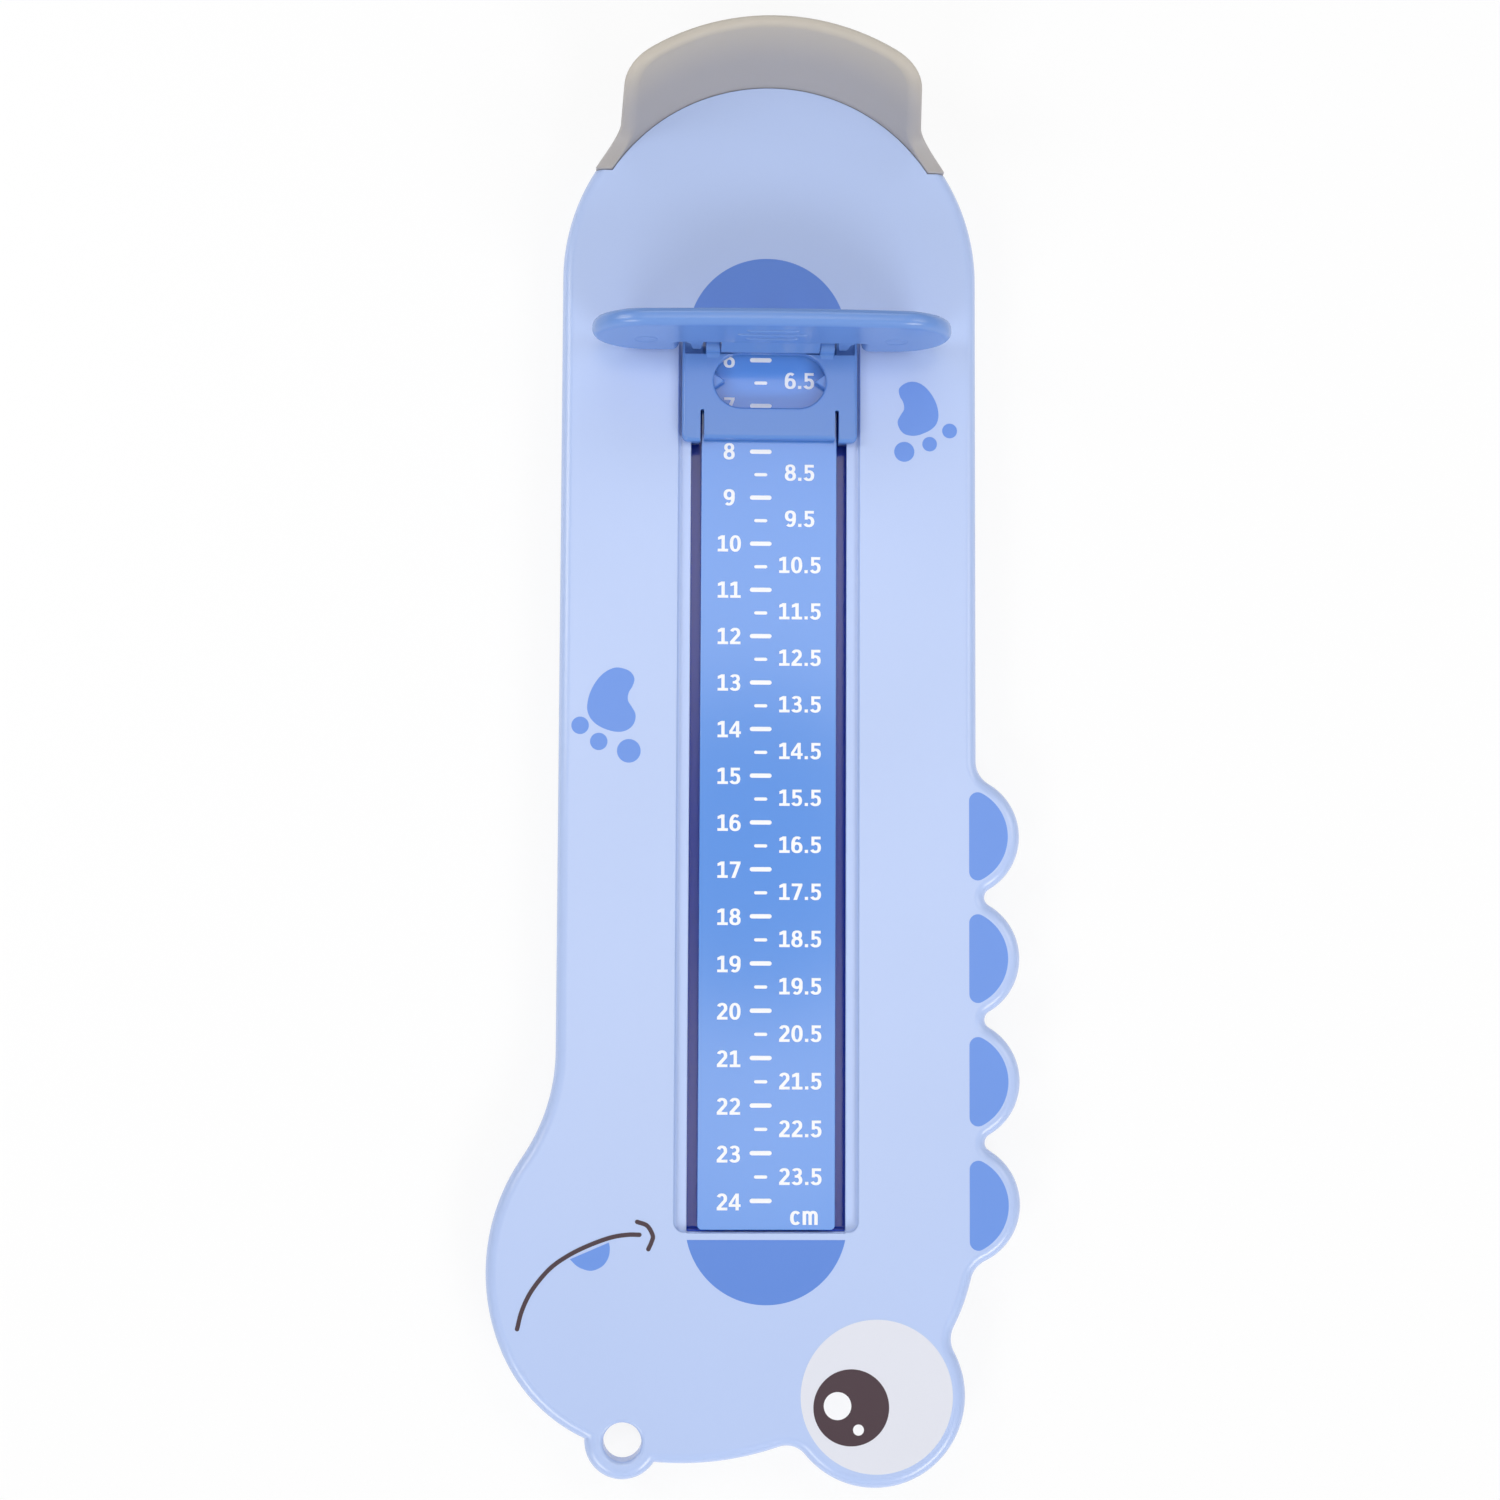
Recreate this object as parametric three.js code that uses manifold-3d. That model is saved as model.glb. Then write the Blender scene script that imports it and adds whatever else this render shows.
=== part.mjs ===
// Foot measuring device for children: a dinosaur-shaped board with a heel wall at one end, a centimetre
// scale along the middle, and a slider with a folding toe plate.
//
// Millimetres. X across the board, +Y towards the heel end, +Z up. The origin lies on the flat underside of
// the bottom cover, on the centreline, half way along the board. Readings count from the heel line to -Y.

import * as THREE from 'three';
import { mergeVertices } from 'three/addons/utils/BufferGeometryUtils.js';
import Module from 'manifold-3d';

const wasm = await Module();
wasm.setup();

// Clearances
const seatGap = 0.3;
const runningGap = 0.4;

// How far joined shapes reach into each other, and how far a cutter reaches past what it cuts
const overlap = 0.5;
const past = 1;
const big = 400;

// Board
const boardLength = 302.7;
const boardHalfWidth = 44.8;
const boardHeight = 10;
const topWall = 2.4;
const skirtWall = 2.2;
const edgeRounding = 2.4;
const coverThickness = 2;
const curveTolerance = 0.05;
const roundingSteps = 3;
const sharpestMitre = 0.4;

// Dinosaur outline: round lobes, each placed by its X and its distance from the tail end
const neckFromTail = 91.3;
const jawRadius = 41.85;
const jawX = -17.24;
const jawFromTail = 45.13;
const muzzleRadius = 35.03;
const muzzleStart = 205.1;
const ringRadius = 8;
const ringX = -30;
const ringFromTail = 9.9;
const ringThickness = 5;
const hangingHoleRadius = 4.04;
const chinRadius = 63.3;
const chinX = -17.4;
const chinFromTail = 68.5;
const chinFillet = 5.1;
const eyeRadius = 19.1;
const eyeX = 23.2;
const eyeFillet = 5.7;
const cheekFromTail = 53.8;
const spineCount = 4;
const spineRadius = 13.1;
const spineX = 41;
const spinePitch = 26.06;
const lastSpineFromTail = 59.1;
const spineValley = 1.95;
const spineEndFillet = 5.6;

// Channel, track and scale
const heelLineFromEnd = 2.7;
const channelFromEnd = 55.9;
const channelFromTail = 53.24;
const slotHalfWidth = 17;
const ledgeHalfWidth = 19.2;
const ledgeDepth = 1.2;
const ledgeSlope = 0.55;
const channelCorner = 1.8;
const railWall = 1.6;
const trackDepth = 6.4;
const trackWall = 1.2;
const trackOverlap = 1;
const stripHalfWidth = 14.55;
const stripDepth = 0.4;
const stripThickness = 1.5;
const stripEndGap = 0.7;
const stripCorner = 1;
const stripWebOffset = 10;
const stripWebWall = 1.4;

// Heel wall
const heelLineRadius = 40.8;
const wallRadius = 44.56;
const wallHeight = 22.3;
const wallLean = 5.8;
const wallTopThickness = 2.4;
const wallRim = 0.9;
const wallEndFromLine = 18.55;
const wallBandHeight = 0.4;
const wallBandHalfWidth = 37.6;
const wallFootHalfWidth = 32.5;
const wallTopHalfWidth = 31.5;
const wallCorner = 6.4;
const wallCornerLean = 0.5;
const wallFillet = 4.5;
const flangeThickness = 1.8;
const flangeWidth = 7.4;

// Slider, measured from its pointers
const restReading = 65;
const carriageHalfWidth = 18.85;
const carriageTop = 2.5;
const carriageFront = 13.3;
const carriageBack = 5.65;
const carriageEnd = 10;
const carriageCorner = 1.5;
const carriageLip = 0.65;
const shelfTop = 1.9;
const windowHalfLength = 12.5;
const windowRadius = 6.15;
const pointerReach = 2.8;
const pointerHalfBase = 2.1;
const pointerThickness = 1.5;
const slitOffset = 14.1;
const slitWidth = 0.7;
const slitLength = 6.9;
const pocketRim = 0.6;
const pocketFloor = 0.9;
const pocketSlit = 0.6;
const legWall = 1.6;
const legSetback = 0.4;
const legLength = 6.7;
const rearLegLength = 5;
const hookReach = 1.6;
const hookHeight = 1.6;
const slideRailWidth = 1.5;
const slideRailSetback = 1.4;

// Hinge and toe plate
const hingeHeight = 3.8;
const hingeFromPointer = 7.2;
const barrelRadius = 1.5;
const knuckleRadius = 1.6;
const pinRadius = 1;
const pinEndInset = 0.2;
const knuckleInner = 10.7;
const knuckleWidth = 3.1;
const plateHalfWidth = 37.85;
const plateThickness = 3.7;
const plateOffset = -0.75;
const plateHeight = 26.2;
const plateCrown = 0.8;
const plateCorner = 11.8;
const plateClearance = 1.2;
const plateEdge = 1.6;
const plateNotchHalfWidth = 19.6;
const plateNotchHeight = 8.4;
const plateNotchCorner = 1.8;
const stopTabInner = 14.4;
const stopTabWidth = 2.65;
const stopTabTaper = 0.45;
const stopTabInset = 0.15;
const stopTabDepth = 2.8;
const ribCount = 3;
const ribLength = 16;
const ribWidth = 0.7;
const ribProud = 0.4;
const ribPitch = 3.6;
const lowestRib = 13.5;

// Screws and feet
const screwShank = 1;
const screwHead = 2.6;
const screwHeadHeight = 1.5;
const screwHeadTop = 1.8;
const screwHeadRim = 0.5;
const screwSlotReach = 1.6;
const screwSlotWidth = 0.7;
const screwSlotDepth = 0.8;
const screwBite = 4.1;
const bossWall = 2.1;
const wellFloor = 1.4;
const wellWall = 1.2;
const headRecess = 0.8;
const heelScrewBite = 2;
const footRadius = 5;
const footThickness = 1.3;
const footProud = 0.8;
const footEdge = 0.4;

// Places of the cover's screws and feet: X, and the distance from the heel end or from the tail end
const sideScrewX = 33;
const sideScrewsFromHeel = [42.7, 122.7, 202.7];
const jawScrewInset = 19.1;
const jawScrewFromTail = 40;
const heelScrewAngles = [55, 90, 125];
const sideFeet = [[24, 22.7], [33, 162.7]];
const jawFootInset = 23.1;
const jawFootFromTail = 28;
const cheekFootX = 30;
const cheekFootFromTail = 44;

// Levels and places that follow from the sizes above
const heelEnd = boardLength / 2;
const tailEnd = -boardLength / 2;
const heelLine = heelEnd - heelLineFromEnd;
const heelCentre = heelEnd - boardHalfWidth;
const heelLineCentre = heelLine - heelLineRadius;
const channelHeelEnd = heelEnd - channelFromEnd;
const channelTailEnd = tailEnd + channelFromTail;
const cavityTop = boardHeight - topWall;
const ledgeTop = boardHeight - ledgeDepth;
const trackFloor = boardHeight - trackDepth;
const trackBottom = trackFloor - trackWall;
const stripTop = boardHeight - stripDepth;
const wellRoof = screwHeadHeight + headRecess + seatGap;
const coverBossBottom = wellRoof + wellFloor + seatGap;
const flangeBottom = coverThickness + screwHeadHeight + 2 * seatGap;
const flangeTop = flangeBottom + flangeThickness;
const heelBossBottom = flangeTop + seatGap;
const wallSeat = flangeBottom - seatGap;
const flangeRadius = heelLineRadius - flangeWidth;
const heelScrewRadius = heelLineRadius - flangeWidth / 2 + seatGap;
const railInner = ledgeHalfWidth + ledgeSlope + seatGap;
const trackHeelEnd = channelHeelEnd + trackOverlap;
const trackTailEnd = channelTailEnd - trackOverlap;
const railOuter = railInner + railWall;
const pointerY = heelLine - restReading;
const carriageBottom = boardHeight + seatGap;
const carriageTopZ = boardHeight + carriageTop;
const shelfTopZ = boardHeight + shelfTop;
const pocketFloorZ = boardHeight + pocketFloor;
const hingeZ = boardHeight + hingeHeight;
const screwHoleRadius = screwShank + seatGap;

const rad = THREE.MathUtils.degToRad;

// How many sides a circle needs to stay within the curve tolerance
function sidesFor(radius) {
  const step = 2 * Math.acos(1 - curveTolerance / Math.max(radius, 2 * curveTolerance));
  return Math.max(12, 4 * Math.ceil(Math.PI / (2 * step)));
}

const colours = {
  paleBlue: [0xb4c8f3, 0.42],
  midBlue: [0x6f96de, 0.4],
  stripBlue: [0x6d97e2, 0.18],
  trackBlue: [0x4c529c, 0.3],
  heelGrey: [0xa8a6a8, 0.55],
  coverBlue: [0xa9bdea, 0.5],
  rubber: [0x8f959e, 0.85],
  steel: [0xb9bcc2, 0.32],
};

function material(name) {
  const [color, roughness] = colours[name];
  const metalness = name === 'steel' ? 1 : 0;
  return new THREE.MeshStandardMaterial({ color, roughness, metalness });
}

function solid(geometry) {
  const bare = geometry.clone();
  bare.deleteAttribute('normal');
  bare.deleteAttribute('uv');
  const merged = mergeVertices(bare, 1e-3);
  return new wasm.Manifold(new wasm.Mesh({
    numProp: 3,
    vertProperties: merged.attributes.position.array,
    triVerts: Uint32Array.from(merged.index.array),
  }));
}

function piece(name, shape, materialName) {
  const mesh = shape.getMesh();
  const geometry = new THREE.BufferGeometry();
  geometry.setAttribute('position', new THREE.BufferAttribute(new Float32Array(mesh.vertProperties), 3));
  geometry.setIndex(new THREE.BufferAttribute(new Uint32Array(mesh.triVerts), 1));
  geometry.computeVertexNormals();
  const result = new THREE.Mesh(geometry, material(materialName));
  result.name = name;
  return result;
}

function join(solids) {
  return solids.reduce((whole, next) => whole.add(next));
}

function box(x0, x1, y0, y1, z0, z1) {
  const geometry = new THREE.BoxGeometry(x1 - x0, y1 - y0, z1 - z0);
  geometry.translate((x0 + x1) / 2, (y0 + y1) / 2, (z0 + z1) / 2);
  return solid(geometry);
}

function post(x, y, radius, z0, z1) {
  const geometry = new THREE.CylinderGeometry(radius, radius, z1 - z0, sidesFor(radius));
  geometry.rotateX(Math.PI / 2);
  geometry.translate(x, y, (z0 + z1) / 2);
  return solid(geometry);
}

function rodAlongX(y, z, radius, x0, x1) {
  const geometry = new THREE.CylinderGeometry(radius, radius, x1 - x0, 16);
  geometry.rotateZ(Math.PI / 2);
  geometry.translate((x0 + x1) / 2, y, z);
  return solid(geometry);
}

function prism(shape, z0, z1, curveSegments = 8) {
  const geometry = new THREE.ExtrudeGeometry(shape, { depth: z1 - z0, bevelEnabled: false, curveSegments });
  geometry.translate(0, 0, z0);
  return solid(geometry);
}

// An outline in Y and Z, pushed along X
function prismAlongX(points, x0, x1) {
  const shape = new THREE.Shape(points.map(([y, z]) => new THREE.Vector2(y, z)));
  const geometry = new THREE.ExtrudeGeometry(shape, { depth: x1 - x0, bevelEnabled: false });
  geometry.rotateX(Math.PI / 2);
  geometry.rotateZ(Math.PI / 2);
  geometry.translate(x0, 0, 0);
  return solid(geometry);
}

function turned(profile, x, y) {
  const points = profile.map(([radius, z]) => new THREE.Vector2(radius, z));
  const widest = Math.max(...profile.map(([radius]) => radius));
  const geometry = new THREE.LatheGeometry(points, sidesFor(widest));
  geometry.rotateX(Math.PI / 2);
  geometry.translate(x, y, 0);
  return solid(geometry);
}

function roundedRectangle(halfWidth, y0, y1, radius) {
  const shape = new THREE.Shape();
  shape.moveTo(-halfWidth + radius, y0);
  shape.lineTo(halfWidth - radius, y0);
  shape.absarc(halfWidth - radius, y0 + radius, radius, -Math.PI / 2, 0, false);
  shape.lineTo(halfWidth, y1 - radius);
  shape.absarc(halfWidth - radius, y1 - radius, radius, 0, Math.PI / 2, false);
  shape.lineTo(-halfWidth + radius, y1);
  shape.absarc(-halfWidth + radius, y1 - radius, radius, Math.PI / 2, Math.PI, false);
  shape.lineTo(-halfWidth, y0 + radius);
  shape.absarc(-halfWidth + radius, y0 + radius, radius, Math.PI, 1.5 * Math.PI, false);
  return shape;
}

// Outline helpers. A lobe is a circle { x, y, r }.

// The circle of radius r that touches two lobes from outside, to the right of the way from a to b
function filletBetween(a, b, r) {
  const span = Math.hypot(b.x - a.x, b.y - a.y);
  const fromA = a.r + r;
  const fromB = b.r + r;
  const along = (fromA * fromA - fromB * fromB + span * span) / (2 * span);
  const aside = Math.sqrt(fromA * fromA - along * along);
  const ux = (b.x - a.x) / span;
  const uy = (b.y - a.y) / span;
  return { x: a.x + ux * along + uy * aside, y: a.y + uy * along - ux * aside, r };
}

// Where two circles that touch from outside meet
function touchPoint(a, b) {
  const share = a.r / (a.r + b.r);
  return { x: a.x + (b.x - a.x) * share, y: a.y + (b.y - a.y) * share };
}

// Where two lobes cross, to the right of the way from a to b
function crossPoint(a, b) {
  const span = Math.hypot(b.x - a.x, b.y - a.y);
  const along = (a.r * a.r - b.r * b.r + span * span) / (2 * span);
  const aside = Math.sqrt(a.r * a.r - along * along);
  const ux = (b.x - a.x) / span;
  const uy = (b.y - a.y) / span;
  return { x: a.x + ux * along + uy * aside, y: a.y + uy * along - ux * aside };
}

function arcPoints(circle, from, to, clockwise) {
  const start = Math.atan2(from.y - circle.y, from.x - circle.x);
  const end = Math.atan2(to.y - circle.y, to.x - circle.x);
  const turn = clockwise ? start - end : end - start;
  const sweep = THREE.MathUtils.euclideanModulo(turn, 2 * Math.PI);
  const step = 2 * Math.acos(1 - curveTolerance / circle.r);
  const count = Math.max(2, Math.ceil(sweep / step));
  const curve = new THREE.EllipseCurve(circle.x, circle.y, circle.r, circle.r, start, end, clockwise);
  return curve.getPoints(count);
}

// The board's outline, counter-clockwise from the right side of the heel
function boardOutline() {
  const heel = { x: 0, y: heelCentre, r: boardHalfWidth };
  const jaw = { x: jawX, y: tailEnd + jawFromTail, r: jawRadius };
  const muzzleAngle = rad(muzzleStart);
  const muzzle = {
    x: jaw.x + (jawRadius - muzzleRadius) * Math.cos(muzzleAngle),
    y: jaw.y + (jawRadius - muzzleRadius) * Math.sin(muzzleAngle),
    r: muzzleRadius,
  };
  const ring = { x: ringX, y: tailEnd + ringFromTail, r: ringRadius };
  const chin = { x: chinX, y: tailEnd + chinFromTail, r: chinRadius };
  const eye = { x: eyeX, y: tailEnd + eyeRadius, r: eyeRadius };
  const cheek = { x: 0, y: tailEnd + cheekFromTail, r: boardHalfWidth };
  const spines = [];
  for (let i = 0; i < spineCount; i += 1) {
    spines.push({ x: spineX, y: tailEnd + lastSpineFromTail + i * spinePitch, r: spineRadius });
  }
  const topSpine = spines[spineCount - 1];

  // The neck's circle touches the board's straight left side and the jaw
  const neckY = tailEnd + neckFromTail;
  const jawReach = jaw.x + boardHalfWidth;
  const jawDrop = neckY - jaw.y;
  const neckRadius = (jawReach ** 2 + jawDrop ** 2 - jawRadius ** 2) / (2 * (jawRadius - jawReach));
  const neck = { x: -boardHalfWidth - neckRadius, y: neckY, r: neckRadius };

  // The last spine's upper fillet touches the board's straight right side
  const filletReach = spineX - boardHalfWidth - spineEndFillet;
  const filletRise = Math.sqrt((spineRadius + spineEndFillet) ** 2 - filletReach ** 2);
  const shoulder = { x: boardHalfWidth + spineEndFillet, y: topSpine.y + filletRise, r: spineEndFillet };

  const points = [];
  const add = (circle, from, to, clockwise = false) => {
    points.push(...arcPoints(circle, from, to, clockwise));
  };
  add(heel, { x: boardHalfWidth, y: heel.y }, { x: -boardHalfWidth, y: heel.y });

  const neckEnd = touchPoint(neck, jaw);
  add(neck, { x: -boardHalfWidth, y: neck.y }, neckEnd, true);
  const jawEnd = {
    x: jaw.x + jawRadius * Math.cos(muzzleAngle),
    y: jaw.y + jawRadius * Math.sin(muzzleAngle),
  };
  add(jaw, neckEnd, jawEnd);
  const ringStart = crossPoint(muzzle, ring);
  add(muzzle, jawEnd, ringStart);
  const ringFinish = crossPoint(ring, chin);
  add(ring, ringStart, ringFinish);

  const underEye = filletBetween(chin, eye, chinFillet);
  const chinEnd = touchPoint(chin, underEye);
  const eyeStart = touchPoint(eye, underEye);
  add(chin, ringFinish, chinEnd);
  add(underEye, chinEnd, eyeStart, true);

  const overEye = filletBetween(eye, cheek, eyeFillet);
  const eyeEnd = touchPoint(eye, overEye);
  const cheekStart = touchPoint(cheek, overEye);
  add(eye, eyeStart, eyeEnd);
  add(overEye, eyeEnd, cheekStart, true);

  const underSpine = filletBetween(cheek, spines[0], spineEndFillet);
  const cheekEnd = touchPoint(cheek, underSpine);
  let from = touchPoint(spines[0], underSpine);
  add(cheek, cheekStart, cheekEnd);
  add(underSpine, cheekEnd, from, true);

  for (let i = 0; i < spineCount; i += 1) {
    const isTop = i === spineCount - 1;
    const next = isTop ? shoulder : filletBetween(spines[i], spines[i + 1], spineValley);
    const end = touchPoint(spines[i], next);
    add(spines[i], from, end);
    from = isTop ? { x: boardHalfWidth, y: shoulder.y } : touchPoint(spines[i + 1], next);
    add(next, end, from, true);
  }
  return withoutRepeats(points);
}

function withoutRepeats(points) {
  return points.filter((point, i) => {
    const previous = points[(i + points.length - 1) % points.length];
    return Math.hypot(point.x - previous.x, point.y - previous.y) > 0.01;
  });
}

// The outline moved inwards by a wall's thickness, with mitred corners
function inset(points, distance) {
  return points.map((point, i) => {
    const before = points[(i + points.length - 1) % points.length];
    const after = points[(i + 1) % points.length];
    const inDir = new THREE.Vector2(point.x - before.x, point.y - before.y).normalize();
    const outDir = new THREE.Vector2(after.x - point.x, after.y - point.y).normalize();
    const normal = new THREE.Vector2(-inDir.y - outDir.y, inDir.x + outDir.x).normalize();
    const reach = distance / Math.max(sharpestMitre, normal.x * -inDir.y + normal.y * inDir.x);
    return new THREE.Vector2(point.x + normal.x * reach, point.y + normal.y * reach);
  });
}

const outline = boardOutline();

function coverScrewPlaces() {
  const places = [];
  for (const fromHeel of sideScrewsFromHeel) {
    places.push([-sideScrewX, heelEnd - fromHeel], [sideScrewX, heelEnd - fromHeel]);
  }
  places.push([jawX - jawRadius + jawScrewInset, tailEnd + jawScrewFromTail]);
  places.push([eyeX, tailEnd + eyeRadius]);
  return places;
}

function footPlaces() {
  const places = [];
  for (const [x, fromHeel] of sideFeet) {
    places.push([-x, heelEnd - fromHeel], [x, heelEnd - fromHeel]);
  }
  places.push([jawX - jawRadius + jawFootInset, tailEnd + jawFootFromTail]);
  places.push([cheekFootX, tailEnd + cheekFootFromTail]);
  return places;
}

function heelScrewPlaces() {
  return heelScrewAngles.map((angle) => [
    heelScrewRadius * Math.cos(rad(angle)),
    heelLineCentre + heelScrewRadius * Math.sin(rad(angle)),
  ]);
}

// What the heel wall takes from the board: all that lies outside the heel line's arc, past the wall's ends
function heelRebate() {
  const outside = box(-big, big, heelLine - wallEndFromLine, big, wallSeat, big);
  return outside.subtract(post(0, heelLineCentre, heelLineRadius, wallSeat - past, big + past));
}

function topShell() {
  const roundedTop = new THREE.ExtrudeGeometry(new THREE.Shape(outline), {
    depth: boardHeight - edgeRounding + past,
    bevelThickness: edgeRounding,
    bevelSize: edgeRounding,
    bevelOffset: -edgeRounding,
    bevelSegments: roundingSteps,
  });
  roundedTop.translate(0, 0, -past);
  const body = solid(roundedTop).intersect(box(-big, big, -big, big, 0, big));

  const ringY = tailEnd + ringFromTail;
  const ringUnderside = boardHeight - ringThickness;
  const biteRadius = ringRadius + seatGap;
  const kept = [post(ringX, ringY, biteRadius + skirtWall, -past, boardHeight)];
  for (const [x, y] of coverScrewPlaces()) {
    kept.push(post(x, y, screwHoleRadius + bossWall, coverBossBottom, boardHeight));
  }
  for (const [x, y] of heelScrewPlaces()) {
    kept.push(post(x, y, screwHoleRadius + bossWall, heelBossBottom, boardHeight));
  }
  const railBottom = coverThickness + seatGap;
  const railTail = trackTailEnd - railWall;
  const railHeel = trackHeelEnd + railWall;
  const railFrame = box(-railOuter, railOuter, railTail, railHeel, railBottom, boardHeight);
  const railHollow = box(-railInner, railInner, trackTailEnd, trackHeelEnd, -past, big);
  kept.push(railFrame.subtract(railHollow));

  const cavity = prism(new THREE.Shape(inset(outline, skirtWall)), -past, cavityTop);
  let shell = body.subtract(cavity.subtract(join(kept)));

  const slot = box(-slotHalfWidth, slotHalfWidth, channelTailEnd, channelHeelEnd, -past, big);
  const ledge = new THREE.ExtrudeGeometry(
    roundedRectangle(ledgeHalfWidth, channelTailEnd + ledgeSlope, channelHeelEnd - ledgeSlope, channelCorner),
    { depth: past, bevelThickness: ledgeDepth, bevelSize: ledgeSlope, bevelSegments: 1, curveSegments: 5 },
  );
  ledge.translate(0, 0, ledgeTop + ledgeDepth);
  shell = shell.subtract(slot).subtract(solid(ledge)).subtract(heelRebate());

  const holes = [
    post(ringX, ringY, biteRadius, -past, ringUnderside),
    post(ringX, ringY, hangingHoleRadius, -past, big),
  ];
  for (const [x, y] of coverScrewPlaces()) {
    holes.push(post(x, y, screwHoleRadius, coverBossBottom - past, coverBossBottom + screwBite + seatGap));
  }
  for (const [x, y] of heelScrewPlaces()) {
    holes.push(post(x, y, screwHoleRadius, heelBossBottom - past, heelBossBottom + heelScrewBite + seatGap));
  }
  return piece('top_shell', shell.subtract(join(holes)), 'paleBlue');
}

function bottomCover() {
  const ringY = tailEnd + ringFromTail;
  const edge = inset(outline, skirtWall + seatGap);
  const ringWall = post(ringX, ringY, ringRadius + skirtWall + 2 * seatGap, -past, big);
  const wells = [];
  const cuts = [];
  const wellRadius = screwHead + 2 * seatGap;
  for (const [x, y] of coverScrewPlaces()) {
    wells.push(post(x, y, wellRadius + wellWall, 0, wellRoof + wellFloor));
    cuts.push(post(x, y, wellRadius, -past, wellRoof));
    cuts.push(post(x, y, screwHoleRadius, -past, big));
  }
  for (const [x, y] of footPlaces()) {
    cuts.push(post(x, y, footRadius + seatGap, -past, footThickness - footProud + seatGap));
  }
  const plate = prism(new THREE.Shape(edge), 0, coverThickness).subtract(ringWall);
  return piece('bottom_cover', join([plate, ...wells]).subtract(join(cuts)), 'coverBlue');
}

function slideTrack() {
  const half = railInner - seatGap;
  const y0 = trackTailEnd + seatGap;
  const y1 = trackHeelEnd - seatGap;
  const tray = box(-half, half, y0, y1, trackBottom, cavityTop - seatGap);
  const inside = box(-half + trackWall, half - trackWall, y0 + trackWall, y1 - trackWall, trackFloor, big);
  return piece('slide_track', tray.subtract(inside), 'trackBlue');
}

// The strip stands on two webs that run its whole length
function scaleStrip() {
  const y0 = channelTailEnd + stripEndGap;
  const y1 = channelHeelEnd - seatGap;
  const outlineOfFace = roundedRectangle(stripHalfWidth, y0, y1, stripCorner);
  const face = prism(outlineOfFace, stripTop - stripThickness, stripTop, 4);
  const webTail = y0 + stripCorner;
  const webHeel = y1 - stripCorner;
  const webs = [-1, 1].map((side) => {
    const x0 = Math.min(side * stripWebOffset, side * (stripWebOffset - stripWebWall));
    return box(x0, x0 + stripWebWall, webTail, webHeel, trackFloor + seatGap, stripTop - overlap);
  });
  return piece('scale_strip', face.add(join(webs)), 'stripBlue');
}

// The wall's front view, an outline in X and Z, pushed along Y
function heelWallFrontView() {
  const top = boardHeight + wallHeight;
  const bandTop = boardHeight + wallBandHeight;
  const shape = new THREE.Shape();
  shape.moveTo(-big / 4, 0);
  shape.lineTo(big / 4, 0);
  shape.lineTo(big / 4, bandTop);
  shape.lineTo(wallBandHalfWidth, bandTop);
  shape.quadraticCurveTo(wallFootHalfWidth, bandTop, wallFootHalfWidth, bandTop + wallFillet);
  shape.lineTo(wallTopHalfWidth, top - wallCorner);
  shape.quadraticCurveTo(wallTopHalfWidth - wallCornerLean, top, wallTopHalfWidth - wallCorner, top);
  shape.lineTo(-wallTopHalfWidth + wallCorner, top);
  shape.quadraticCurveTo(-wallTopHalfWidth + wallCornerLean, top, -wallTopHalfWidth, top - wallCorner);
  shape.lineTo(-wallFootHalfWidth, bandTop + wallFillet);
  shape.quadraticCurveTo(-wallFootHalfWidth, bandTop, -wallBandHalfWidth, bandTop);
  shape.lineTo(-big / 4, bandTop);
  const geometry = new THREE.ExtrudeGeometry(shape, { depth: big, bevelEnabled: false, curveSegments: 8 });
  geometry.rotateX(Math.PI / 2);
  geometry.translate(0, big, 0);
  return solid(geometry);
}

// The quarter round of the wall's rim, in radius and height, from the wall's face to its top
function rimProfile(radius, side) {
  const top = boardHeight + wallHeight;
  const points = [];
  for (let i = 0; i <= roundingSteps; i += 1) {
    const angle = (i / roundingSteps) * rad(90);
    const fromFace = wallRim * (1 - Math.cos(angle));
    points.push([radius + side * fromFace, top - wallRim * (1 - Math.sin(angle))]);
  }
  return points;
}

function heelWall() {
  const top = boardHeight + wallHeight;
  const wallCentre = heelEnd - wallRadius;
  const innerFoot = heelLineRadius + seatGap;
  const topRadius = wallRadius + wallLean;
  const innerTop = wallCentre + topRadius - wallTopThickness - heelLineCentre;
  const outer = turned([
    [0, flangeBottom], [wallRadius, flangeBottom], [wallRadius, boardHeight],
    ...rimProfile(topRadius, -1), [0, top],
  ], 0, wallCentre);
  const inner = turned([
    [0, flangeTop], [innerFoot, flangeTop], [innerFoot, boardHeight],
    ...rimProfile(innerTop, 1), [innerTop + wallRim, top + past], [0, top + past],
  ], 0, heelLineCentre);
  const underFlange = post(0, heelLineCentre, flangeRadius, flangeBottom - past, flangeTop + past);
  const behind = box(-big, big, heelLine - wallEndFromLine + seatGap, big, 0, big);
  const holes = heelScrewPlaces().map(([x, y]) => post(x, y, screwHoleRadius, 0, flangeTop + past));
  const wall = outer.subtract(inner).subtract(underFlange).subtract(join(holes));
  return piece('heel_wall', wall.intersect(heelWallFrontView()).intersect(behind), 'heelGrey');
}

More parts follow.
